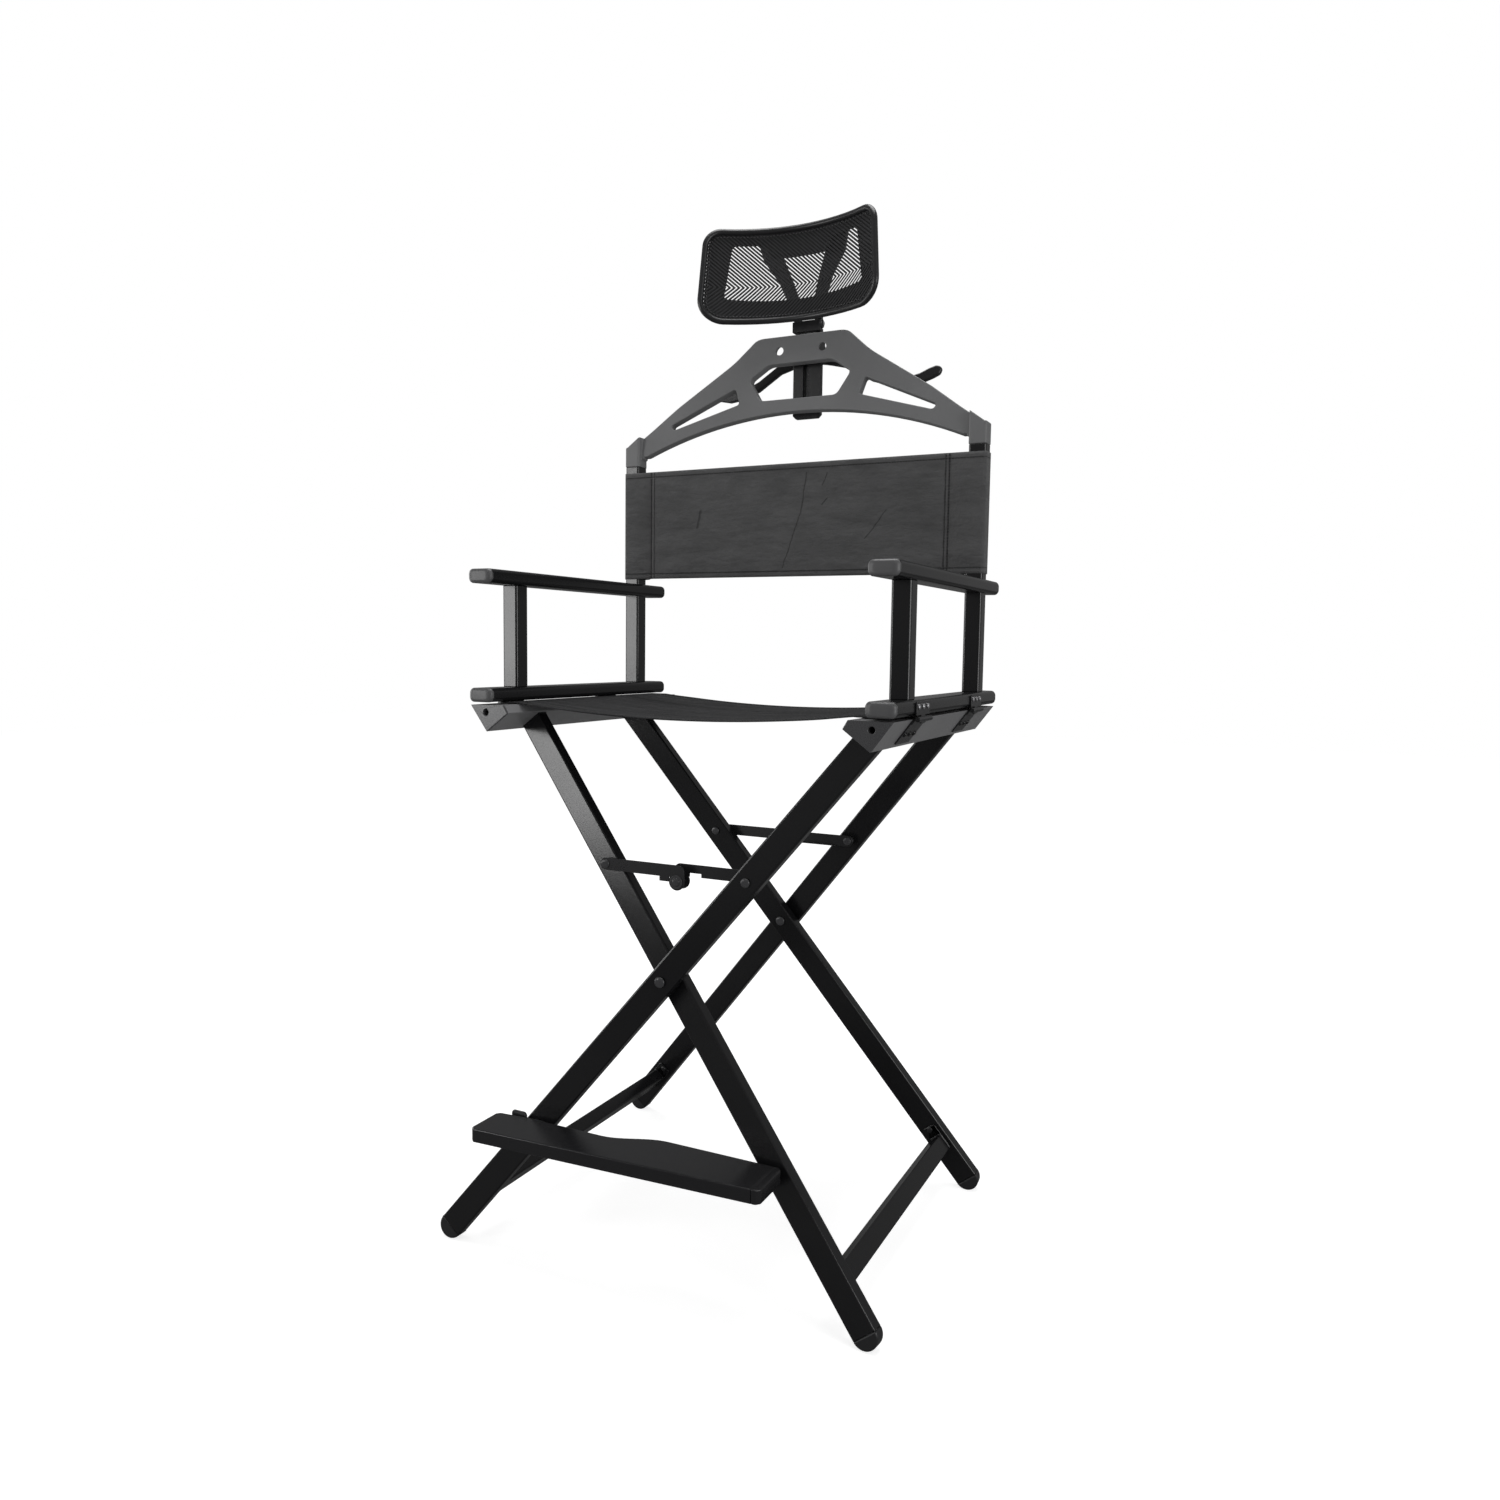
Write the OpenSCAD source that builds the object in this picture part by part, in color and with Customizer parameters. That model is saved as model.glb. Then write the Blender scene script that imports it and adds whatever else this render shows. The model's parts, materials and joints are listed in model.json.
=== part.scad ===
// Tall folding makeup chair: an X-frame chair with canvas seat and back, a footrest,
// a grey head plate that lifts off its posts, a sliding and tilting mesh headrest,
// and a coat hanger behind it. Front is -Y, up is +Z, and the chair stands on z = 0.

/* [Sides] */
// Distance from the chair's middle to the middle of each arm, post and seat rail
side_x = 281; // [278:1:284]
// Height of the middle of the seat rails
seat_z = 731.5; // [730:0.5:733]
// Height of the middle of the arm rails
arm_z = 889.5; // [870:0.5:900]
// Width of the arm and seat rails
rail_w = 38; // [36:1:40]
// Height of the arm and seat rails
rail_h = 19; // [18:0.5:20]
// Length of the arm and seat rails, without their caps
rail_len = 444; // [436:1:450]
// Side of the square tube of the posts
post_w = 25; // [22:1:26]
// Height of the top of the back posts
post_top_z = 1085.5; // [1080:0.5:1090]

/* [Legs] */
// Height of the crossing of the legs
cross_z = 381; // [379:1:383]
// Angle of the legs from upright
leg_angle = 38.75; // [38.5:0.25:39]
// Width of the leg tubes across the leg
leg_w = 34; // [32:1:34]
// Depth of the leg tubes, front to back
leg_d = 18; // [16:1:18]
// Wall of the tubes
wall = 1.5; // [1:0.1:2]
// Slope by which the front legs stand out to the front
splay_front = 0.1225; // [0.115:0.0025:0.1225]
// Slope by which the rear legs stand out to the back
splay_rear = 0.08; // [0.06:0.005:0.08]

/* [Footrest] */
// Height of the top of the footrest board
foot_top_z = 185; // [182:1:190]
// Thickness of the footrest board
board_t = 18; // [16:1:20]
// Length of the footrest board
board_len = 400; // [390:1:404]

/* [Head] */
// Angle by which the head plate leans back
plate_lean = 7; // [5:0.5:8]
// Thickness of the head plate
plate_t = 14; // [12:1:14]
// Width of the headrest
head_w = 290; // [280:1:300]
// Height of the headrest
head_h = 136; // [130:1:140]
// Width of the stem that carries the headrest
stem_w = 46; // [40:1:46]

/* [Hidden] */
$fn = 28;

black = [0.09, 0.09, 0.10];
plastic = [0.15, 0.15, 0.16];
cloth = [0.20, 0.20, 0.22];
grey = [0.30, 0.31, 0.32];
bright = [0.72, 0.72, 0.74];

// Gap between pieces that are fixed together, and the running gap round a pin
seat_gap = 0.1;
run_fit = 0.05;
corner_fn = 16;

// Rails and posts, along Y about rail_mid_y
rail_mid_y = 1.5;
rail_front_y = rail_mid_y - rail_len / 2;
rail_back_y = rail_mid_y + rail_len / 2;
rail_r = 6;
cap_len = 5;
cap_bulge = 1;
cap_plug = 14;
front_post_y = -149;
back_post_y = 165;
post_r = 3.5;
seat_top_z = seat_z + rail_h / 2;
seat_low_z = seat_z - rail_h / 2;

// Legs: the middle between the two crossings, and each leg's front face at its crossing.
// Leg A hangs from the left bracket, leg B from the right one and outside of A.
legs_mid_y = -23.5;
cross_half = 202.5;
leg_gap = 6;
leg_r = 2.5;
leg_up = 411;
b_front_y = legs_mid_y - cross_half;
a_front_y = b_front_y + leg_d + leg_gap;
b_rear_y = legs_mid_y + cross_half - leg_d;
a_rear_y = b_rear_y - leg_gap - leg_d;

// Brackets under the seat rails, as a section of x from the middle and z
bracket_top_z = seat_low_z - 2.6;
bracket_out = [side_x + 16, bracket_top_z - 1];
bracket_low = [side_x - 10.6, bracket_out[1] - 35.4];
bracket_in = [side_x - 45, bracket_low[1] + 25.5];
bracket_in_top = [side_x - 38.5, bracket_top_z];
bracket_len = rail_len + 3;
bracket_wall = 2.6;

// Hinges on the outside of the seat rails and brackets
hinge_x = side_x + rail_w / 2 + 3.1;
hinge_z = seat_low_z - 3.6;
hinge_r = 3.2;
hinge_pin_r = 1.6;
leaf_w = 50;
leaf_t = 2;
leaf_gap = 0.2;
hinge_ys = [-131, 110];
slant = atan2(bracket_out[0] - bracket_low[0], bracket_out[1] - bracket_low[1]);

// Braces: where each link's rivet sits on its leg, and how far the knuckle hangs below
rivet_s = 171;
knuckle_drop = 13.5;
rivet_x = rivet_s * sin(leg_angle);
rivet_z = cross_z + rivet_s * cos(leg_angle);
link_len = norm([rivet_x, knuckle_drop]);
link_dip = atan(knuckle_drop / rivet_x);
link_t = 2;
link_r = 8;
lobe_r = 11;
// Where link B's lower edge is cut back beside the knuckle
link_notch = 28;
rivet_r = 3;

// Stretchers near the floor
stretcher_z = 66;
stretcher_s = (cross_z - stretcher_z) / cos(leg_angle);
stretcher_w = 25;
stretcher_t = 20;
tab_gap = 0.3;
tab_t = 2.2;
tab_up = 25;
screw_s = stretcher_s - tab_up;

// Footrest
board_z = foot_top_z - board_t / 2;
pivot_s = (cross_z - board_z) / cos(leg_angle);
pivot_x = -pivot_s * sin(leg_angle);
board_right_x = 178;
board_left_x = board_right_x - board_len;
board_front_left_y = b_front_y - 98;
board_front_right_y = b_front_y - 78;
board_near_y = b_front_y - 37.5;
// The left end is cut back, so that it clears the leg when it swings
board_relief = 3.3;
board_far_y = b_front_y - 14;
curve_x1 = -62;
curve_x2 = 22;
board_seam = 11;
board_corner = 5;
pivot_r = 4;

// Seat and back
rod_r = 2;
rod_x = side_x - rail_w / 2 + 6;
rod_z = seat_low_z + 5;
seat_t = 1.4;
seat_sag = 15;
seat_front_y = rail_front_y + 28.5;
seat_back_y = rail_back_y - 24.5;
hem_w = 5.6;
seat_flat_x = side_x - 43;
seat_edge_z = seat_low_z - 0.3;
back_z1 = 907;
back_z2 = 1075;
sleeve_t = 1.4;
sleeve_in = post_w + 0.6;

// Head plate, in its own plane: x across, z up from the post tops
plate_base_z = post_top_z + 0.3;
block_w = 26;
block_h = 39;
plug_w = post_w - 2 * wall - 0.4;
plug_len = 40;
arch_r = 650;
arch_top = 68.4;
hole_x = 35;
hole_up = 162.2;
hole_r = 5.5;

// Stem, its holder and the headrest
stem_t = 8;
stem_y = 207;
stem_low_z = 1150;
stem_top_z = 1276;
holder_z1 = 1238;
holder_z2 = 1266;
holder_wall = 4;
slide_gap = 0.3;
tilt_z = 1290;
tilt_r = 3;
head_mid_z = 1353;
head_mid_y = 165;
bow_r = 226;
rim_t = 9;
mesh_t = 1.4;
yoke_top_y = 171;

// Coat hanger
hanger_t = 9;
hanger_tip_x = 199;
// How far the arms lean back for each millimetre out
hanger_lean = 0.15;
hanger_y = stem_y + stem_t / 2 + slide_gap + holder_wall + seat_gap + hanger_t / 2;

// Shift that puts the middle of the chair's box on the origin
box_front_y = board_front(board_left_x + board_corner);
box_back_y = hanger_y + hanger_t / 2 + hanger_lean * hanger_tip_x;
y0 = -(box_front_y + box_back_y) / 2;

module part(tone) {
    color(tone) translate([0, y0, 0]) children();
}

module rounded(w, h, r) {
    square([w - 2 * r, h], center = true);
    square([w, h - 2 * r], center = true);
    for (x = [-1, 1], y = [-1, 1])
        translate([x * (w / 2 - r), y * (h / 2 - r)]) circle(r = r, $fn = corner_fn);
}

module tube_section(w, h, r) {
    difference() {
        rounded(w, h, r);
        rounded(w - 2 * wall, h - 2 * wall, max(r - wall, 0.5));
    }
}

// A bar along Y from y1 to y2, with its section's own origin at x, z
module along_y(x, z, y1, y2) {
    translate([x, y2, z]) rotate([90, 0, 0]) linear_extrude(y2 - y1) children();
}

module pin_y(x, z, y1, y2, r) {
    translate([x, max(y1, y2), z]) rotate([90, 0, 0]) cylinder(h = abs(y2 - y1), r = r);
}

// A domed head whose seat is at x, y, z and which points along Y towards dir
module dome_y(x, y, z, r, h, dir) {
    translate([x, y, z]) rotate([dir < 0 ? 90 : -90, 0, 0]) {
        cylinder(h = h * 0.45, r = r, $fn = corner_fn);
        translate([0, 0, h * 0.45]) cylinder(h = h * 0.55, r1 = r, r2 = r * 0.55, $fn = corner_fn);
    }
}

// Sides

module rail(side, z) {
    along_y(side * side_x, z, rail_front_y, rail_back_y) tube_section(rail_w, rail_h, rail_r);
}

module seat_rail(side) {
    difference() {
        rail(side, seat_z);
        // The slot that the seat's hem and its rod slide into
        along_y(side * rod_x, rod_z, rail_front_y - 1, rail_back_y + 1)
            translate([-hem_w / 2 - 0.5, -8]) square([hem_w + 1, 12.5]);
    }
}

module rail_caps(side, z) {
    for (end = [-1, 1])
        translate([side * side_x, rail_mid_y + end * (rail_len / 2 + seat_gap), z])
            rotate([end * -90, 0, 0]) {
                linear_extrude(cap_len) rounded(rail_w, rail_h, rail_r);
                translate([0, 0, cap_len]) linear_extrude(cap_bulge)
                    rounded(rail_w - 4, rail_h - 4, rail_r - 2);
                translate([0, 0, -cap_plug]) linear_extrude(cap_plug)
                    rounded(rail_w - 2 * wall - 0.4, rail_h - 2 * wall - 0.4, rail_r - wall);
            }
}

module post(side, y, z1, z2) {
    translate([side * side_x, y, z1]) linear_extrude(z2 - z1) tube_section(post_w, post_w, post_r);
}

module front_post(side) {
    post(side, front_post_y, seat_top_z + seat_gap, arm_z - rail_h / 2 - seat_gap);
}

module back_post(side) {
    post(side, back_post_y, seat_top_z + seat_gap, post_top_z);
}

// The back post runs up through the arm rail
module arm_rail(side) {
    difference() {
        rail(side, arm_z);
        translate([side * side_x, back_post_y, arm_z - rail_h]) linear_extrude(2 * rail_h)
            rounded(post_w + 2 * seat_gap, post_w + 2 * seat_gap, post_r);
    }
}

module seat_rod(side) {
    pin_y(side * rod_x, rod_z, seat_front_y - 4, seat_back_y + 4, rod_r);
}

// Seat and back

function seat_top(x) = seat_edge_z - seat_sag * max(0, 1 - pow(x / seat_flat_x, 2));

module seat_section() {
    n = 16;
    xs = concat(
        [-rod_x - hem_w / 2],
        [for (i = [0:n]) seat_flat_x * (2 * i / n - 1)],
        [rod_x + hem_w / 2]
    );
    last = len(xs) - 1;
    polygon(concat(
        [for (x = xs) [x, seat_top(x)]],
        [for (i = [last:-1:0]) [xs[i], seat_top(xs[i]) - seat_t]]
    ));
}

module seat_shape() {
    difference() {
        union() {
            along_y(0, 0, seat_front_y, seat_back_y) seat_section();
            for (side = [-1, 1])
                along_y(side * rod_x, seat_edge_z - 0.5, seat_front_y, seat_back_y)
                    translate([-hem_w / 2, 0]) square([hem_w, rod_z - seat_edge_z + 3.6]);
        }
        for (side = [-1, 1])
            pin_y(side * rod_x, rod_z, seat_front_y - 1, seat_back_y + 1, rod_r + seat_gap);
    }
}

// The back is one band whose ends are sleeves over the posts
module back_shape() {
    for (side = [-1, 1])
        translate([side * side_x, back_post_y, back_z1]) linear_extrude(back_z2 - back_z1)
            difference() {
                rounded(sleeve_in + 2 * sleeve_t, sleeve_in + 2 * sleeve_t, post_r + sleeve_t);
                rounded(sleeve_in, sleeve_in, post_r);
            }
    translate([-side_x, back_post_y - sleeve_in / 2 - sleeve_t, back_z1])
        cube([2 * side_x, sleeve_t, back_z2 - back_z1]);
}

// Brackets, with the openings that the tops of the legs go up into

bracket_outer = [bracket_out, bracket_low, bracket_in, bracket_in_top];
bracket_inner = [
    bracket_out + bracket_wall * [-2.1, -0.85], bracket_low + bracket_wall * [0, 1.5],
    bracket_in + bracket_wall * [1.5, 0.1], bracket_in_top + bracket_wall * [0.7, -1],
];

module bracket_section(points, side) {
    polygon([for (p = points) [side * p[0], p[1]]]);
}

module bracket(side) {
    difference() {
        along_y(0, 0, rail_mid_y - bracket_len / 2, rail_mid_y + bracket_len / 2)
            difference() {
                bracket_section(bracket_outer, side);
                bracket_section(bracket_inner, side);
            }
        for (end = [-1, 1])
            leg_place(side, end) translate([0, 0, 200]) linear_extrude(leg_up + 4 - 200)
                square([leg_w + 0.4, leg_d + 0.4], center = true);
    }
}

module bracket_caps(side) {
    for (end = [-1, 1])
        difference() {
            union() {
                y1 = rail_mid_y + end * (bracket_len / 2 + seat_gap);
                y2 = y1 + end * 3;
                along_y(0, 0, min(y1, y2), max(y1, y2)) bracket_section(bracket_outer, side);
                y3 = y1 - end * 8;
                along_y(0, 0, min(y1, y3), max(y1, y3)) intersection() {
                    bracket_section(bracket_inner, side);
                    translate([0.3 * -side, -0.3]) bracket_section(bracket_inner, side);
                    translate([0, 0.4]) bracket_section(bracket_inner, side);
                }
            }
            pin_y(side * (side_x - 9.5), bracket_top_z - 10.5, -300, 300, 4.2);
        }
}

// Legs. side is the bracket a leg hangs from; end is -1 in front and 1 behind

function leg_front(side, end) =
    end < 0 ? (side < 0 ? a_front_y : b_front_y) : (side < 0 ? a_rear_y : b_rear_y);
function leg_splay(end) = end < 0 ? atan(splay_front) : -atan(splay_rear);

// The y of a leg's face, at the distance s down from the crossing in the plane of the X
function leg_y(side, end, s, back) = leg_front(side, end) + back - tan(leg_splay(end)) * s;

module leg_place(side, end) {
    translate([0, leg_front(side, end) + leg_d / 2, cross_z]) rotate([0, side * leg_angle, 0])
        rotate([-leg_splay(end), 0, 0]) children();
}

// How far down the leg its foot's middle is, so that the foot just meets the floor
function foot_tilt(end) = sin(abs(leg_splay(end))) * cos(leg_angle);
function foot_s(end) =
    (cross_z - leg_w / 2 * sqrt(1 - pow(foot_tilt(end), 2)) - leg_d / 2 * foot_tilt(end))
    / (cos(leg_angle) * cos(leg_splay(end))) - seat_gap;

module leg(side, end) {
    y = leg_front(side, end);
    difference() {
        leg_place(side, end) difference() {
            translate([0, 0, -foot_s(end)]) linear_extrude(foot_s(end) + leg_up)
                tube_section(leg_w, leg_d, leg_r);
            pin_y(0, -screw_s, 0, -end * leg_d, 2 + seat_gap);
        }
        pin_y(0, cross_z, y - 8, y + leg_d + 8, 4 + seat_gap);
        pin_y(side * rivet_x, rivet_z, y - 50, y + leg_d + 50, rivet_r + seat_gap);
        if (side > 0 && end < 0) pin_y(pivot_x, board_z, -320, -200, pivot_r + seat_gap);
    }
}

module feet(side) {
    for (end = [-1, 1])
        leg_place(side, end) translate([0, 0, -foot_s(end) - seat_gap]) {
            rotate([90, 0, 0]) intersection() {
                cylinder(h = leg_d, r = leg_w / 2, center = true, $fn = 48);
                translate([-leg_w, -leg_w, -leg_d]) cube([2 * leg_w, leg_w, 2 * leg_d]);
            }
            linear_extrude(22) square([leg_w - 2 * wall - 0.6, leg_d - 2 * wall - 0.6], center = true);
        }
}

// Stretchers lie along Y between the two legs of one frame, turned to line up with them

function stretcher_end(side, end) = leg_y(side, end, stretcher_s, leg_d / 2);

module stretcher(side) {
    difference() {
        union() {
            translate([-side * stretcher_s * sin(leg_angle), 0, stretcher_z])
                rotate([0, side * leg_angle, 0])
                    along_y(0, 0, stretcher_end(side, -1), stretcher_end(side, 1))
                        tube_section(stretcher_t, stretcher_w, 2.5);
            // The end plates that are screwed to the legs
            for (end = [-1, 1]) {
                y1 = -end * (leg_d / 2 + tab_gap);
                y2 = y1 - end * tab_t;
                leg_place(side, end) difference() {
                    along_y(0, -stretcher_s + 8, min(y1, y2), max(y1, y2))
                        rounded(stretcher_t + 2, stretcher_w + 18, 4);
                    pin_y(0, -screw_s, -60, 60, 2 + run_fit);
                }
            }
        }
        for (end = [-1, 1])
            leg_place(side, end) cube([leg_w * 3, leg_d + 2 * tab_gap, 1200], center = true);
    }
}

module stretcher_screws(side) {
    for (end = [-1, 1])
        leg_place(side, end) {
            y = -end * (leg_d / 2 + tab_gap + tab_t + seat_gap);
            dome_y(0, y, -screw_s, 4.2, 2.4, -end);
            pin_y(0, -screw_s, y, y + end * 6.5, 2);
        }
}

// A bolt through both legs of a pair, with a low dome at each end
module crossing_bolt_set() {
    for (end = [-1, 1]) {
        y1 = legs_mid_y + end * (cross_half - 2 * leg_d - leg_gap - 1);
        y2 = legs_mid_y + end * (cross_half + 1);
        pin_y(0, cross_z, y1, y2, 4);
        dome_y(0, y1, cross_z, 7, 3.2, -end);
        dome_y(0, y2, cross_z, 7, 3.2, end);
    }
}

module crossing_washer_set() {
    for (end = [-1, 1]) {
        mid = legs_mid_y + end * (cross_half - leg_d - leg_gap / 2);
        difference() {
            pin_y(0, cross_z, mid - 1.8, mid + 1.8, 8);
            pin_y(0, cross_z, mid - 5, mid + 5, 4 + run_fit);
        }
    }
}

// Hinges

module barrel(side, y1, y2, bore) {
    difference() {
        pin_y(side * hinge_x, hinge_z, y1, y2, hinge_r);
        pin_y(side * hinge_x, hinge_z, y1 - 1, y2 + 1, bore);
    }
}

module upper_leaves(side) {
    half = leaf_w / 6 - leaf_gap;
    face = side_x + rail_w / 2 + seat_gap;
    for (y = hinge_ys) {
        barrel(side, y - half, y + half, hinge_pin_r + run_fit);
        difference() {
            mirror([side < 0 ? 1 : 0, 0, 0]) {
                translate([face, y - leaf_w / 2, hinge_z + 4.6]) cube([leaf_t, leaf_w, 16]);
                translate([face, y - half, hinge_z]) cube([leaf_t, 2 * half, 6]);
            }
            pin_y(side * hinge_x, hinge_z, y - 30, y + 30, hinge_pin_r + run_fit);
        }
    }
}

module leaf_screws(side) {
    for (y = hinge_ys, i = [-1, 0, 1])
        translate([side * (side_x + rail_w / 2 + seat_gap + leaf_t), y + i * 17, seat_z + 1.5])
            rotate([0, side * 90, 0]) {
                cylinder(h = 0.8, r = 3.4, $fn = corner_fn);
                translate([0, 0, 0.8]) cylinder(h = 0.9, r1 = 3.4, r2 = 2, $fn = corner_fn);
            }
}

// Puts its children on a bracket's slanted outer face, x out of it and z up along it
module on_slant(side, y) {
    mirror([side < 0 ? 1 : 0, 0, 0])
        translate([bracket_out[0], y, bracket_out[1]]) rotate([0, slant, 0]) children();
}

module lower_leaves(side) {
    third = leaf_w / 3;
    for (y = hinge_ys) {
        for (v = [y - leaf_w / 2, y + leaf_w / 2 - third])
            barrel(side, v, v + third, hinge_pin_r);
        difference() {
            on_slant(side, y) {
                translate([seat_gap, -leaf_w / 2, -37]) cube([leaf_t, leaf_w, 34]);
                for (v = [-leaf_w / 2, leaf_w / 2 - third])
                    translate([1.4, v, -6]) cube([leaf_t, third, 10]);
                for (i = [-1, 0, 1])
                    translate([leaf_t, i * 17, -22]) rotate([0, 90, 0]) {
                        cylinder(h = 0.8, r = 3.4, $fn = corner_fn);
                        translate([0, 0, 0.8]) cylinder(h = 0.9, r1 = 3.4, r2 = 2, $fn = corner_fn);
                    }
            }
            pin_y(side * hinge_x, hinge_z, y - 30, y + 30, hinge_pin_r);
        }
    }
}

module hinge_pins(side) {
    for (y = hinge_ys) {
        pin_y(side * hinge_x, hinge_z, y - leaf_w / 2 - 0.2, y + leaf_w / 2 + 0.2, hinge_pin_r);
        for (v = [-1, 1]) {
            y1 = y + v * (leaf_w / 2 + 0.1);
            pin_y(side * hinge_x, hinge_z, y1, y1 + v * 1, 2.6);
        }
    }
}

// Braces. kind is -1 for the link on frame A and 1 for the link on frame B. Both links of a pair
// lie side by side, and clear the slope of the legs when the knuckle is up.

function link_dir(end, kind) = kind < 0 ? end : -end;
function link_face(end, kind) =
    leg_y(kind, end, -rivet_s, link_dir(end, kind) < 0 ? 0 : leg_d);
link_gaps = [[3.8, 14.6], [2.6, 9.7]];
function link_y(end, kind) =
    link_face(end, kind) + link_dir(end, kind) * link_gaps[end < 0 ? 0 : 1][kind < 0 ? 0 : 1];

// A link's outline, with its rivet at the origin and its knuckle out along +X. The strip runs level
// from rivet to rivet, and the knuckle hangs below it on a lobe.
module link_outline(kind) {
    difference() {
        union() {
            circle(r = link_r);
            rotate(link_dip) {
                translate([0, -link_r]) square([rivet_x + 3, 2 * link_r]);
                translate([rivet_x + 3, 0]) circle(r = link_r);
                translate([rivet_x - 9, -knuckle_drop]) square([20, knuckle_drop]);
            }
            translate([link_len, 0]) circle(r = lobe_r);
        }
        circle(r = rivet_r + run_fit);
        if (kind < 0) translate([link_len, 0]) circle(r = rivet_r + 0.1);
        if (kind > 0) rotate(link_dip) translate([rivet_x - link_notch, -link_r - 1])
            square([link_notch - lobe_r, 6]);
    }
}

module link(end, kind) {
    dir = link_dir(end, kind);
    y = link_y(end, kind) + max(dir, 0) * link_t;
    translate([kind * rivet_x, y, rivet_z])
        mirror([kind > 0 ? 1 : 0, 0, 0]) {
            rotate([0, link_dip, 0]) {
                rotate([90, 0, 0]) linear_extrude(link_t) link_outline(kind);
                // The far head of the knuckle's rivet
                if (kind > 0)
                    translate([link_len, end < 0 ? 0 : -link_t, 0]) dome_y(0, 0, 0, 6.6, 2.2, -end);
            }
            // The turned flange along link B's lower edge
            if (kind > 0)
                translate([18, end < 0 ? -0.1 : -link_t - 4, -link_r])
                    cube([rivet_x - link_notch - 19, 4.1, 1.6]);
            // The lug under link A's lower edge beside the knuckle
            if (kind < 0)
                translate([rivet_x - 25, 0, -link_r - 6]) {
                    translate([0, -link_t, 0]) cube([14, link_t, 6.5]);
                    translate([0, end < 0 ? -link_t : -link_t - 3, 0]) cube([14, link_t + 3, 1.8]);
                }
        }
}

module knuckle_rivet(end) {
    z = rivet_z - knuckle_drop;
    ya = link_y(end, -1);
    yb = link_y(end, 1);
    a = ya + end * (link_t + seat_gap);
    pin_y(0, z, a, yb + end * 0.3, rivet_r);
    pin_y(0, z, a, a + end, 9);
    dome_y(0, a + end, z, 5.2, 2, end);
    pin_y(0, z, ya - end * 0.2, yb + end * 0.3, 5.5);
}

module brace_rivets(kind) {
    for (end = [-1, 1]) {
        dir = link_dir(end, kind);
        face = link_face(end, kind);
        near = link_y(end, kind);
        outer = near + dir * (link_t + seat_gap);
        far = face - dir * (leg_d + 0.9);
        pin_y(kind * rivet_x, rivet_z, far, outer, rivet_r);
        pin_y(kind * rivet_x, rivet_z, face + dir * 0.9, near - dir * seat_gap, 6);
        dome_y(kind * rivet_x, outer, rivet_z, 6, 2.4, dir);
        dome_y(kind * rivet_x, far, rivet_z, 6, 2.8, -dir);
    }
}

// Footrest

function ease(t) = (1 - cos(180 * max(0, min(1, t)))) / 2;
function board_rear(x) =
    board_near_y + (board_far_y - board_near_y) * ease((x - curve_x1) / (curve_x2 - curve_x1));
function board_front(x) = board_front_left_y + (board_front_right_y - board_front_left_y)
    * (x - board_left_x) / board_len;

module board_outline() {
    c = board_corner;
    n = 12;
    polygon(concat(
        [[board_left_x, board_front(board_left_x) + c], [board_left_x + c, board_front(board_left_x + c)]],
        [[board_right_x - c, board_front(board_right_x - c)]],
        [[board_right_x, board_front(board_right_x) + c]],
        [[board_right_x, board_far_y - c], [board_right_x - c, board_far_y]],
        [for (i = [n:-1:0]) let (x = curve_x1 + (curve_x2 - curve_x1) * i / n) [x, board_rear(x)]],
        [[pivot_x - 14, board_near_y], [board_left_x + c, board_near_y - board_relief]],
        [[board_left_x, board_near_y - board_relief - c]]
    ));
}

// Lightening pockets in the underside, so that the board is a top with ribs
module board_pockets() {
    rib = 4;
    for (i = [0:5]) {
        x1 = board_left_x + 8 + i * 63;
        x2 = x1 + 63 - rib;
        polygon([
            [x1, board_front(x1) + 7], [x2, board_front(x2) + 7],
            [x2, min(board_rear(x2), board_rear(x1)) - 7], [x1, board_rear(x1) - 7],
        ]);
    }
}

module board() {
    difference() {
        translate([0, 0, foot_top_z - board_t]) linear_extrude(board_t) board_outline();
        translate([0, 0, foot_top_z - board_t - 1]) linear_extrude(board_t - 4) difference() {
            board_pockets();
            translate([pivot_x, board_near_y - 18]) square([20, 40], center = true);
        }
        translate([board_right_x - board_seam, -400, 0]) cube([100, 300, 400]);
        pin_y(pivot_x, board_z, board_near_y - 30, -200, pivot_r + run_fit);
    }
}

module end_cap() {
    intersection() {
        translate([0, 0, foot_top_z - board_t]) linear_extrude(board_t) board_outline();
        translate([board_right_x - board_seam + seat_gap, -400, 0]) cube([100, 300, 400]);
    }
}

bracket_t = 1.6;

module foot_bracket() {
    y = board_near_y + 0.5;
    difference() {
        union() {
            along_y(pivot_x, board_z, y, y + bracket_t) rounded(34, 16, 5);
            along_y(pivot_x - 26, board_z + 5, y, y + bracket_t) rounded(24, 20, 5);
            pin_y(pivot_x, board_z, y, leg_y(1, -1, pivot_s, 0) - 1.3, 8);
        }
        pin_y(pivot_x, board_z, y - 1, y + 30, pivot_r + seat_gap);
    }
}

module foot_bolt() {
    rear = leg_y(1, -1, pivot_s, leg_d) + 1;
    pin_y(pivot_x, board_z, board_near_y - 28, rear, pivot_r);
    dome_y(pivot_x, rear, board_z, 7, 3, 1);
}

stud_x = 165;
stud_r = 5;

module stud() {
    z = foot_top_z - board_t - stud_r - 0.3;
    s = (cross_z - z) / cos(leg_angle);
    rear = leg_y(-1, -1, s, 0) - 1;
    pin_y(stud_x, z, rear, -264, stud_r);
}

// Head plate, in its own plane

half_plate = [
    [74, 185], [88, 171.5], [112, 150.3], [182, 105], [207, 88.9], [255, 52.6],
    [287, 30.4], [293.5, 24.4], [293.5, 0],
];
half_side_window = [[106, 111], [98, 86.3], [212, 54.1], [217, 61.4]];
centre_window = [[-52, 143], [52, 143], [83, 122], [62, 88.4], [-62, 88.4], [-83, 122]];

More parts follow.
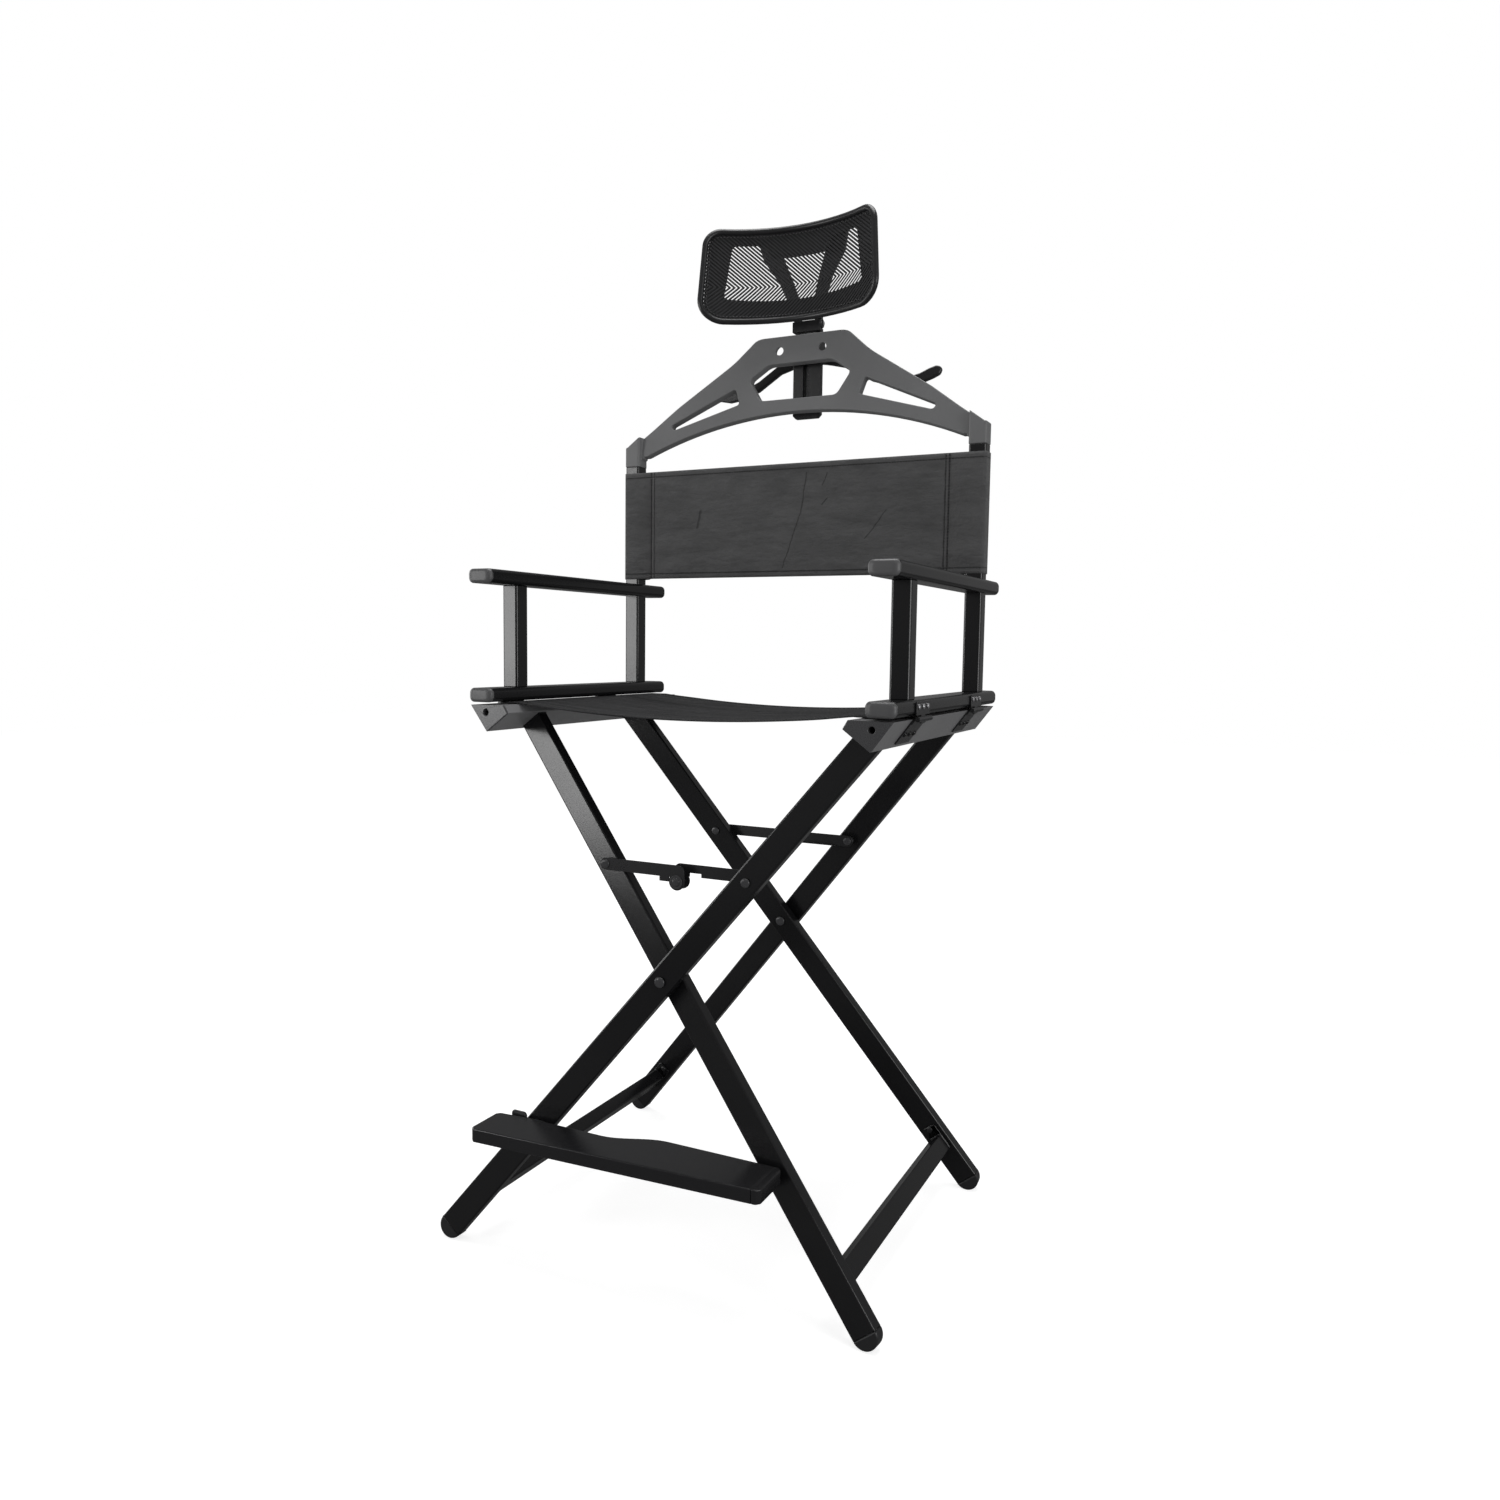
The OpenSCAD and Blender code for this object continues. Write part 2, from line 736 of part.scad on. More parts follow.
// A polygon whose corners are rounded from at most r before each corner to r after it
function eased(p, r) = [
    for (i = [0:len(p) - 1])
        let (
            a = p[(i + len(p) - 1) % len(p)], b = p[i], c = p[(i + 1) % len(p)],
            ta = min(r / norm(a - b), 0.45), tc = min(r / norm(c - b), 0.45),
            p0 = b + (a - b) * ta, p2 = b + (c - b) * tc
        )
        for (t = [0:0.25:1]) p0 * (1 - t) * (1 - t) + b * 2 * t * (1 - t) + p2 * t * t
];

module plate_outline() {
    n = len(half_plate) - 1;
    difference() {
        polygon(eased(concat(
            [for (p = half_plate) p],
            [for (i = [n:-1:0]) [-half_plate[i][0], half_plate[i][1]]]
        ), 12));
        translate([0, arch_top - arch_r]) circle(r = arch_r, $fn = 260);
        translate([-264, -1]) square([528, 16]);
        polygon(eased(centre_window, 7));
        polygon(eased(half_side_window, 5));
        polygon(eased([for (p = half_side_window) [-p[0], p[1]]], 5));
    }
}

module on_plate() {
    translate([0, back_post_y, plate_base_z]) rotate([-plate_lean, 0, 0]) children();
}

module plate() {
    difference() {
        union() {
            on_plate() rotate([90, 0, 0]) linear_extrude(plate_t, center = true) plate_outline();
            for (side = [-1, 1]) intersection() {
                translate([side * side_x, back_post_y, plate_base_z]) linear_extrude(block_h + 9)
                    rounded(block_w, block_w, post_r);
                // The ends follow the plate's slope down to their outer corners
                along_y(0, plate_base_z, 100, 230) polygon([
                    [0, -1], [side * 300, -1], [side * 300, 29], [side * 290, 31],
                    [side * 268, block_h + 8], [0, block_h + 8],
                ]);
            }
        }
        for (x = [-hole_x, hole_x])
            pin_y(x, plate_base_z + hole_up, 100, 260, hole_r);
        // Nothing of the leaning plate hangs below the tops of the posts
        translate([-400, 0, plate_base_z - 50]) cube([800, 300, 50]);
        translate([-side_x, back_post_y, plate_base_z - 1]) linear_extrude(13)
            square(plug_w + 2 * seat_gap, center = true);
    }
}

module plug() {
    translate([-side_x, back_post_y, plate_base_z - plug_len]) linear_extrude(plug_len + 11.8)
        rounded(plug_w, plug_w, 1.5);
}

module holder() {
    w = stem_w + 2 * slide_gap + 2 * holder_wall;
    rear = stem_y + stem_t / 2 + slide_gap;
    difference() {
        translate([-w / 2, 150, holder_z1])
            cube([w, rear + holder_wall - 150, holder_z2 - holder_z1]);
        translate([0, stem_y, holder_z1 - 1]) linear_extrude(60)
            square([stem_w + 2 * slide_gap, stem_t + 2 * slide_gap], center = true);
        on_plate() translate([-100, -100 + plate_t / 2 + seat_gap, 0]) cube([200, 100, 400]);
    }
}

// The stem is a flat bar with a rack in its front face and a tapered lower end
module stem() {
    tooth = 3;
    difference() {
        union() {
            along_y(0, 0, stem_y - stem_t / 2, stem_y + stem_t / 2) difference() {
                polygon([
                    [-18, stem_low_z], [18, stem_low_z], [stem_w / 2, stem_low_z + 5],
                    [stem_w / 2, stem_top_z], [11, stem_top_z + 3], [11, tilt_z],
                    [-11, tilt_z], [-11, stem_top_z + 3], [-stem_w / 2, stem_top_z],
                    [-stem_w / 2, stem_low_z + 5],
                ]);
            }
            translate([-11, stem_y, tilt_z]) rotate([0, 90, 0]) cylinder(h = 22, r = 7);
        }
        translate([-30, stem_y, tilt_z]) rotate([0, 90, 0]) cylinder(h = 60, r = tilt_r + run_fit);
        // The rack in the front face
        along_y(0, 0, stem_y - stem_t / 2 - 1, stem_y + stem_t / 2 - 2.5) {
            translate([-6.5, stem_low_z + 16]) square([7, 96]);
            for (i = [0:10])
                translate([0, stem_low_z + 18 + i * 8.6]) square([tooth, 4.6]);
        }
    }
}

// Headrest: everything that bows runs on a cylinder about the upright axis through the middle
module bowed(half_t, w, h, r) {
    intersection() {
        translate([0, head_mid_y - bow_r, head_mid_z - head_h]) difference() {
            cylinder(h = 2 * head_h, r = bow_r + half_t, $fn = 96);
            translate([0, 0, -1]) cylinder(h = 2 * head_h + 2, r = bow_r - half_t, $fn = 96);
        }
        along_y(0, head_mid_z, 60, 240) rounded(w, h, r);
    }
}

module rim() {
    difference() {
        bowed(rim_t / 2, head_w, head_h, 35);
        along_y(0, head_mid_z, 60, 240) rounded(head_w - 2 * rim_t, head_h - 2 * rim_t, 35 - rim_t);
    }
}

// The forked yoke leans from the tilt pin up to the rim
module yoke() {
    rise = head_mid_z + head_h / 2 - rim_t - tilt_z;
    lean = atan((stem_y - yoke_top_y) / rise);
    up = rise / cos(lean) + 6;
    translate([0, stem_y, tilt_z]) rotate([lean, 0, 0]) difference() {
        union() {
            rotate([90, 0, 0]) linear_extrude(7, center = true) difference() {
                polygon([
                    [-24, 9], [24, 9], [34, 36], [74, up], [33, up], [12, 40],
                    [-12, 40], [-33, up], [-74, up], [-34, 36],
                ]);
            }
            for (x = [-23, 11.4])
                translate([x, 0, 0]) rotate([0, 90, 0]) cylinder(h = 11.6, r = 7);
            for (x = [-23, 11.4])
                translate([x, -3.5, 0]) cube([11.6, 7, 12]);
        }
        translate([-12, 0, 0]) rotate([0, 90, 0]) cylinder(h = 24, r = 8);
    }
    translate([-25, stem_y, tilt_z]) rotate([0, 90, 0]) cylinder(h = 50, r = tilt_r);
    // Pads that join the ends of the yoke to the rim
    for (side = [-1, 1])
        intersection() {
            translate([side * 53 - 18, 100, head_mid_z + head_h / 2 - rim_t - 4])
                cube([36, yoke_top_y - 96, rim_t + 2]);
            translate([0, head_mid_y - bow_r, 1200]) difference() {
                cylinder(h = 300, r = bow_r + 18, $fn = 96);
                translate([0, 0, -1]) cylinder(h = 302, r = bow_r + mesh_t / 2 + 0.3, $fn = 96);
            }
        }
}

// Coat hanger: two arms that fall from the hub, lean back and turn up at their rounded tips
hanger_half_line = [
    [0, 1249], [57, 1240], [95, 1219], [124, 1209], [148, 1206.5], [166, 1211], [180, 1217.5],
    [190, 1221], [196, 1220], [hanger_tip_x, 1215], [196, 1208], [186, 1203], [170, 1197],
    [150, 1192.5], [125, 1194.5], [95, 1203.5], [54, 1226], [0, 1238],
];

module hanger() {
    for (side = [-1, 1])
        multmatrix([[1, 0, 0, 0], [hanger_lean * side, 1, 0, 0], [0, 0, 1, 0], [0, 0, 0, 1]])
            along_y(0, 0, hanger_y - hanger_t / 2, hanger_y + hanger_t / 2)
                polygon([for (p = hanger_half_line) [side * p[0], p[1]]]);
    along_y(0, 1250, hanger_y - hanger_t / 2, hanger_y + hanger_t / 2) rounded(44, 26, 5);
}

// Nodes

module left_arm_rail() part(black) arm_rail(-1);
module left_arm_caps() part(plastic) rail_caps(-1, arm_z);
module left_front_post() part(black) front_post(-1);
module left_back_post() part(black) back_post(-1);
module left_seat_rail() part(black) seat_rail(-1);
module left_seat_caps() part(plastic) rail_caps(-1, seat_z);
module left_upper_leaves() part(black) upper_leaves(-1);
module left_leaf_screws() part(black) leaf_screws(-1);
module left_seat_rod() part(bright) seat_rod(-1);
module right_arm_rail() part(black) arm_rail(1);
module right_arm_caps() part(plastic) rail_caps(1, arm_z);
module right_front_post() part(black) front_post(1);
module right_back_post() part(black) back_post(1);
module right_seat_rail() part(black) seat_rail(1);
module right_seat_caps() part(plastic) rail_caps(1, seat_z);
module right_upper_leaves() part(black) upper_leaves(1);
module right_leaf_screws() part(black) leaf_screws(1);
module right_seat_rod() part(bright) seat_rod(1);
module seat_canvas() part(cloth) seat_shape();
module back_canvas() part(cloth) back_shape();
module left_bracket() part(black) bracket(-1);
module left_bracket_caps() part(plastic) bracket_caps(-1);
module left_lower_leaves() part(black) lower_leaves(-1);
module left_hinge_pins() part(black) hinge_pins(-1);
module front_leg_a() part(black) leg(-1, -1);
module rear_leg_a() part(black) leg(-1, 1);
module stretcher_a() part(black) stretcher(-1);
module feet_a() part(plastic) feet(-1);
module crossing_bolts() part(black) crossing_bolt_set();
module crossing_washers() part(plastic) crossing_washer_set();
module brace_rivets_a() part(black) brace_rivets(-1);
module stretcher_screws_a() part(bright) stretcher_screws(-1);
module footrest_stud() part(black) stud();
module right_bracket() part(black) bracket(1);
module right_bracket_caps() part(plastic) bracket_caps(1);
module right_lower_leaves() part(black) lower_leaves(1);
module right_hinge_pins() part(black) hinge_pins(1);
module front_leg_b() part(black) leg(1, -1);
module rear_leg_b() part(black) leg(1, 1);
module stretcher_b() part(black) stretcher(1);
module feet_b() part(plastic) feet(1);
module brace_rivets_b() part(black) brace_rivets(1);
module stretcher_screws_b() part(bright) stretcher_screws(1);
module footrest_bracket() part(black) foot_bracket();
module footrest_bolt() part(bright) foot_bolt();
module front_link_a() part(black) link(-1, -1);
module front_link_b() part(black) link(-1, 1);
module rear_link_a() part(black) link(1, -1);
module rear_link_b() part(black) link(1, 1);
module front_knuckle_rivet() part(black) knuckle_rivet(-1);
module rear_knuckle_rivet() part(black) knuckle_rivet(1);
module footrest_board() part(plastic) board();
module footrest_end_cap() part(plastic) end_cap();
module head_plate() part(grey) plate();
module plate_plug() part(plastic) plug();
module stem_holder() part(plastic) holder();
module coat_hanger() part(plastic) hanger();
module headrest_stem() part(plastic) stem();
module headrest_frame() part(plastic) { rim(); yoke(); }
module headrest_mesh() part(cloth)
    bowed(mesh_t / 2, head_w - 2 * rim_t - 0.4, head_h - 2 * rim_t - 0.4, 35 - rim_t);

left_arm_rail();
left_arm_caps();
left_front_post();
left_back_post();
left_seat_rail();
left_seat_caps();
left_upper_leaves();
left_leaf_screws();
left_seat_rod();
right_arm_rail();
right_arm_caps();
right_front_post();
right_back_post();
right_seat_rail();
right_seat_caps();
right_upper_leaves();
right_leaf_screws();
right_seat_rod();
seat_canvas();
back_canvas();
left_bracket();
left_bracket_caps();
left_lower_leaves();
left_hinge_pins();
front_leg_a();
rear_leg_a();
stretcher_a();
feet_a();
crossing_bolts();
crossing_washers();
brace_rivets_a();
stretcher_screws_a();
footrest_stud();
right_bracket();
right_bracket_caps();
right_lower_leaves();
right_hinge_pins();
front_leg_b();
rear_leg_b();
stretcher_b();
feet_b();
brace_rivets_b();
stretcher_screws_b();
footrest_bracket();
footrest_bolt();
front_link_a();
front_link_b();
rear_link_a();
rear_link_b();
front_knuckle_rivet();
rear_knuckle_rivet();
footrest_board();
footrest_end_cap();
head_plate();
plate_plug();
stem_holder();
coat_hanger();
headrest_stem();
headrest_frame();
headrest_mesh();
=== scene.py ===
"""Dresses a tall folding makeup chair: coated tubes, canvas seat and back, footrest, head plate,
mesh headrest and coat hanger, with a plain studio round them.

Sizes are in millimetres in the drawing's own coordinates, where x runs across the chair from its
middle, y from front to back and z up from the floor. Place turns them into metres of the frame.
"""

import itertools
import json
import logging
import math
from dataclasses import dataclass, field
from enum import Enum
from typing import Callable, ClassVar, Iterable, Optional, Sequence, Union

import bmesh
import bpy
from bpy.types import Material, Object
from mathutils import Matrix, Vector

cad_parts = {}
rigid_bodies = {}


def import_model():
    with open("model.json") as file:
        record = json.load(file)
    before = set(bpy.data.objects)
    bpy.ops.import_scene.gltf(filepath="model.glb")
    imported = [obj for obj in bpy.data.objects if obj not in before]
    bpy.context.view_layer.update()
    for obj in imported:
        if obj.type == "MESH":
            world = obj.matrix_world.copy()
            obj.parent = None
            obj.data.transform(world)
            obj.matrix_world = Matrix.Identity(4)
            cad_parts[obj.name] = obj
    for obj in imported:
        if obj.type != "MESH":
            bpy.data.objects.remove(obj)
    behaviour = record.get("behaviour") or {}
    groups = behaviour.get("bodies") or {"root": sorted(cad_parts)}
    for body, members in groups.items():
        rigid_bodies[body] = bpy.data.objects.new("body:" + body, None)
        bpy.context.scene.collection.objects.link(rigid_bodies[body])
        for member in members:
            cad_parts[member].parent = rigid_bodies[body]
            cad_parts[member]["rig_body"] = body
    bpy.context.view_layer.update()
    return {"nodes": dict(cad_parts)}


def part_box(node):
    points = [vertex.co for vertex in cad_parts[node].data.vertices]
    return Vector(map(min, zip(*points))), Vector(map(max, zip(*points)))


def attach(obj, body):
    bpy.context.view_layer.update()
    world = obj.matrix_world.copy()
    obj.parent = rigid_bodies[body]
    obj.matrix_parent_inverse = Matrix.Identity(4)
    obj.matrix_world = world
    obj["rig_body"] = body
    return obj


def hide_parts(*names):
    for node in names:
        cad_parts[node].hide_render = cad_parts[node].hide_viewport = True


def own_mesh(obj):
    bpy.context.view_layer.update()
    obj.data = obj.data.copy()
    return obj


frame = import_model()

LOG = logging.getLogger("makeup_chair")
# A millimetre in metres, and how far the frame's zero lies in front of the drawing's.
MM = 0.001
FRAME_SHIFT_Y = 34.75
Pair = tuple[float, float]
Point = tuple[float, float, float]
Number = Union[float, "Value"]


class Finish(Enum):
    """The finishes of the chair, by name."""

    TUBE = "tube"
    BRACKET = "bracket"
    HINGE = "hinge"
    RIVET = "rivet"
    STEEL = "steel"
    CAP = "cap"
    CANVAS = "canvas"
    BOARD = "board"
    PLATE = "plate"
    PLASTIC = "plastic"
    MESH = "mesh"
    SEAT = "seat"
    THREAD = "thread"
    BRACKET_CAP = "bracket_cap"
    NET_BACK = "net_back"


class Side(Enum):
    """Left or right of the chair, as the sign of x."""

    LEFT = -1
    RIGHT = 1


def place(x: float, y: float, z: float) -> Vector:
    """Turns a point of the drawing in millimetres into metres of the frame."""
    return Vector((x * MM, (y + FRAME_SHIFT_Y) * MM, z * MM))


# Shader maths


def _operation(name: str, swap: bool = False) -> Callable[..., "Value"]:
    """Makes a method of Value that adds one Math node on the value and others."""

    def add_node(value: "Value", *others: Number) -> "Value":
        """Adds the node, with the value last where it is swapped."""
        return value.kit.math(name, *((*others, value) if swap else (value, *others)))

    return add_node


@dataclass
class Value:
    """One output socket of a material, with arithmetic that adds Math nodes."""

    kit: "NodeKit"
    socket: bpy.types.NodeSocket

    __add__ = __radd__ = _operation("ADD")
    __sub__, __rsub__ = _operation("SUBTRACT"), _operation("SUBTRACT", swap=True)
    __mul__ = __rmul__ = _operation("MULTIPLY")
    __truediv__ = _operation("DIVIDE")
    __pow__ = _operation("POWER")
    sine = _operation("SINE")
    size = _operation("ABSOLUTE")
    over = _operation("GREATER_THAN")


class NodeKit:
    """Builds the nodes of one material."""

    def __init__(self, name: str) -> None:
        """Starts an empty material of the given name."""
        self.material = bpy.data.materials.new(name)
        self.material.use_nodes = True
        self.tree = self.material.node_tree
        self.tree.nodes.clear()

    def node(
        self, kind: str, settings: Optional[dict] = None, inputs: Optional[dict] = None
    ) -> bpy.types.Node:
        """Adds a node.

        Args:
            kind: the node's type.
            settings: attributes that are set first.
            inputs: values or links, by the socket's name or number.

        Returns:
            The node.
        """
        made = self.tree.nodes.new(kind)
        for key, value in (settings or {}).items():
            setattr(made, key, value)
        for key, value in (inputs or {}).items():
            self.feed(made.inputs[key], value)
        return made

    def feed(self, socket: bpy.types.NodeSocket, value: object) -> None:
        """Links a value to a socket, or sets the socket's constant."""
        if isinstance(value, Value):
            self.tree.links.new(value.socket, socket)
        else:
            socket.default_value = value

    def out(self, made: bpy.types.Node, key: Union[int, str] = 0) -> Value:
        """Wraps one output of a node."""
        return Value(self, made.outputs[key])

    def math(self, operation: str, *values: Number) -> Value:
        """Adds a Math node on values or numbers."""
        made = self.node("ShaderNodeMath", {"operation": operation}, dict(enumerate(values)))
        return self.out(made)

    def colour(self, factor: Number, low: Sequence[float], high: Sequence[float]) -> Value:
        """Mixes two plain colours: a factor of 0 gives low and 1 gives high."""
        inputs = {0: factor, 6: (*low, 1.0), 7: (*high, 1.0)}
        return self.out(self.node("ShaderNodeMix", {"data_type": "RGBA"}, inputs), 2)

    def position(self) -> Value:
        """The point on the piece, in metres of the frame."""
        return self.out(self.node("ShaderNodeTexCoord"), "Object")

    def cloth_axes(self) -> tuple[Value, Value]:
        """The two directions of a cloth, in metres, from its own UV map."""
        uv = self.node("ShaderNodeUVMap", {"uv_map": "cloth"})
        split = self.node("ShaderNodeSeparateXYZ", inputs={0: self.out(uv)})
        return self.out(split, 0), self.out(split, 1)

    def noise(self, at: Value, scale: float, detail: float = 2.0, rough: float = 0.5) -> Value:
        """Noise from 0 to 1 at a point, with the scale in waves a metre."""
        inputs = {"Vector": at, "Scale": scale, "Detail": detail, "Roughness": rough}
        made = self.node("ShaderNodeTexNoise", inputs=inputs)
        return self.out(made, "Fac" if "Fac" in made.outputs else 0)

    def parts(self, at: Value) -> tuple[Value, Value, Value]:
        """The three coordinates of a point."""
        split = self.node("ShaderNodeSeparateXYZ", inputs={0: at})
        return self.out(split, 0), self.out(split, 1), self.out(split, 2)

    def stretched(self, at: Value, by: Point) -> Value:
        """A point with each coordinate multiplied."""
        made = self.node("ShaderNodeVectorMath", {"operation": "MULTIPLY"}, {0: at, 1: by})
        return self.out(made)

    def held(self, value: Number) -> Value:
        """A value kept between 0 and 1."""
        return self.math("MINIMUM", self.math("MAXIMUM", value, 0.0), 1.0)

    def near_line(
        self, a: Value, b: Value, start: Pair, end: Pair, width: float
    ) -> Value:
        """1 on a straight line across two coordinates, falling to 0 at a width from it."""
        da, db = end[0] - start[0], end[1] - start[1]
        size = da * da + db * db
        along = self.held(((a - start[0]) * da + (b - start[1]) * db) / size)
        off_a, off_b = a - start[0] - along * da, b - start[1] - along * db
        far = (off_a * off_a + off_b * off_b) ** 0.5
        return 1 - self.math("MINIMUM", far / width, 1.0)

    def bump(
        self, height: Value, distance: float, strength: float = 1.0, under: Optional[Value] = None
    ) -> Value:
        """Turns a height into a normal, on top of another normal if one is given."""
        inputs = {"Height": height, "Distance": distance, "Strength": strength}
        made = self.node("ShaderNodeBump", inputs=inputs)
        if under is not None:
            self.feed(made.inputs["Normal"], under)
        return self.out(made)

    def surface(self, **inputs: object) -> Material:
        """Closes the material with a Principled shader, given by its sockets' names."""
        inputs = {key.replace("_", " "): value for key, value in inputs.items()}
        shader = self.node("ShaderNodeBsdfPrincipled", inputs=inputs)
        self.node("ShaderNodeOutputMaterial", inputs={"Surface": self.out(shader)})
        return self.material


# Finishes


def toned(tone: Point, by: float, lift: float = 0.0) -> Point:
    """A tone multiplied and lifted."""
    return tuple(c * by + lift for c in tone)


@dataclass(frozen=True)
class PowderCoat:
    """Satin coated metal with a faint orange peel and slightly rubbed tone."""

    name: str
    tone: Point
    roughness: float = 0.34
    peel: float = 0.00006

    def build(self) -> Material:
        """Builds the material."""
        kit = NodeKit(self.name)
        at = kit.position()
        cloud = kit.noise(at, scale=9.0, detail=3.0)
        grain = kit.noise(at, scale=900.0)
        return kit.surface(
            Base_Color=kit.colour(cloud, self.tone, toned(self.tone, 1.45, 0.002)),
            Roughness=cloud * 0.08 + grain * 0.05 + (self.roughness - 0.06),
            Normal=kit.bump(grain, self.peel),
            Specular_IOR_Level=0.5,
        )


@dataclass(frozen=True)
class MouldedPlastic:
    """Moulded plastic with a fine spark-eroded grain."""

    name: str
    tone: Point
    roughness: float = 0.42
    grain: float = 0.0001
    pitch: float = 1400.0

    def build(self) -> Material:
        """Builds the material."""
        kit = NodeKit(self.name)
        at = kit.position()
        cloud = kit.noise(at, scale=14.0)
        grain = kit.noise(at, self.pitch, detail=1.0)
        return kit.surface(
            Base_Color=kit.colour(cloud, self.tone, toned(self.tone, 1.18, 0.002)),
            Roughness=grain * 0.08 + cloud * 0.06 + (self.roughness - 0.07),
            Normal=kit.bump(grain, self.grain),
        )


@dataclass(frozen=True)
class PlainSteel:
    """Zinc-plated steel with turning marks."""

    name: str
    tone: Point

    def build(self) -> Material:
        """Builds the material."""
        kit = NodeKit(self.name)
        cloud = kit.noise(kit.position(), scale=160.0)
        return kit.surface(
            Base_Color=kit.colour(cloud, toned(self.tone, 0.8), self.tone),
            Roughness=cloud * 0.2 + 0.22,
            Metallic=1.0,
        )


@dataclass(frozen=True)
class WovenCanvas:
    """Plain-woven canvas with soft wrinkles, sewn grooves and creases, with painted shade darkening
    the grooves and creases.

    The weave runs on the cloth's own UV map. Grooves are (axis, distance) pairs in millimetres, and
    creases are ((x, z), (x, z), width) in millimetres of the chair.
    """

    name: str
    tone: Point
    thread: float = 0.0011
    wrinkle: float = 0.005
    draw: Point = (9.0, 9.0, 26.0)
    grooves: tuple = ()
    groove_width: float = 1.3
    creases: tuple = ()
    wander: float = 0.006
    # how strongly the colour follows the pulled ripples: painted light on their crests, painted
    # shade in their troughs
    ripple_light_and_shade: float = 0.35
    sheen: float = 0.1
    glint: float = 0.25

    def _dent_and_shade_mask(self, kit: NodeKit, at: Value) -> Number:
        """1 in the sewn grooves and the creases, 0 away from them; it dents them and darkens them
        with painted shade.
        """
        x, y, z = kit.parts(at)
        axes = {"x": x.size(), "y": y, "z": z}
        dent_and_shade: Number = 0.0
        for axis, distance in self.grooves:
            gap = (axes[axis] - distance * MM).size() / (self.groove_width * MM)
            dent_and_shade = kit.math("MAXIMUM", dent_and_shade, 1 - kit.math("MINIMUM", gap, 1.0))
        for start, end, width in self.creases:
            wander = (kit.noise(at, scale=45.0) - 0.5) * self.wander
            (x1, z1), (x2, z2) = start, end
            line = kit.near_line(
                x + wander, z, (x1 * MM, z1 * MM), (x2 * MM, z2 * MM), width * MM
            )
            dent_and_shade = kit.math("MAXIMUM", dent_and_shade, line)
        return dent_and_shade

    def build(self) -> Material:
        """Builds the material."""
        kit = NodeKit(self.name)
        u, v = kit.cloth_axes()
        turn = math.pi / self.thread
        warp, weft = (u * turn).sine(), (v * turn).sine()
        over = (warp * weft).over(0.0)
        weave = warp.size() * over + weft.size() * (1 - over)
        at = kit.position()
        slub = kit.noise(at, scale=420.0)
        cloud = (kit.noise(at, scale=13.0, detail=5.0, rough=0.65) - 0.5) * 2.4 + 0.5
        pulled = kit.noise(kit.stretched(at, self.draw), scale=1.6, detail=4.0, rough=0.6)
        # painted shade: the grooves and creases are dented and darkened in colour where shade falls
        # into them
        dent_and_shade = self._dent_and_shade_mask(kit, at)
        mixed = weave * 0.25 + slub * 0.15 + cloud * 0.3
        # painted light and shade: the colour is lighter and darker along the pulled ripples
        mixed = mixed + (pulled - 0.5) * 2 * self.ripple_light_and_shade + 0.15 - dent_and_shade * 0.75
        normal = kit.bump(cloud, self.wrinkle, 0.5)
        normal = kit.bump(pulled, self.wrinkle * 1.6, 0.7, normal)
        normal = kit.bump(1 - dent_and_shade, 0.0012, 0.8, normal)
        normal = kit.bump(weave + slub * 0.8, 0.00025, 0.7, normal)
        return kit.surface(
            Base_Color=kit.colour(mixed, toned(self.tone, 0.55), toned(self.tone, 1.45)),
            Roughness=0.92 - weave * 0.1,
            Normal=normal,
            Specular_IOR_Level=self.glint,
            Sheen_Weight=self.sheen,
            Sheen_Roughness=0.5,
        )


@dataclass(frozen=True)
class SewingThread:
    """Dark twisted thread."""

    name: str
    tone: Point

    def build(self) -> Material:
        """Builds the material."""
        kit = NodeKit(self.name)
        twist = kit.noise(kit.position(), scale=2600.0, detail=1.0)
        return kit.surface(
            Base_Color=kit.colour(twist, toned(self.tone, 0.6), toned(self.tone, 1.5)),
            Roughness=twist * 0.2 + 0.6,
            Normal=kit.bump(twist, 0.0001),
        )


@dataclass(frozen=True)
class OpenNet:
    """A fine net whose slanting threads turn the other way below a line, on its own UV map."""

    name: str
    tone: Point
    pitch: float = 0.0042
    share: float = 0.47
    turn_at: float = -0.014
    lean: Pair = (0.66, 0.75)

    def build(self) -> Material:
        """Builds the material."""
        kit = NodeKit(self.name)
        u, v = kit.cloth_axes()
        turn = math.pi / self.pitch
        across, down = u * self.lean[0], v * self.lean[1]
        falling = ((across + down) * turn).sine().size()
        rising = ((across - down) * turn).sine().size()
        above = v.over(self.turn_at)
        main = falling * above + rising * (1 - above)
        return kit.surface(
            Base_Color=kit.colour(main, toned(self.tone, 0.35), toned(self.tone, 1.7)),
            Roughness=0.78 - main * 0.1,
            Alpha=main.over(self.share),
            Specular_IOR_Level=0.3,
            Normal=kit.bump(main, 0.0006),
        )


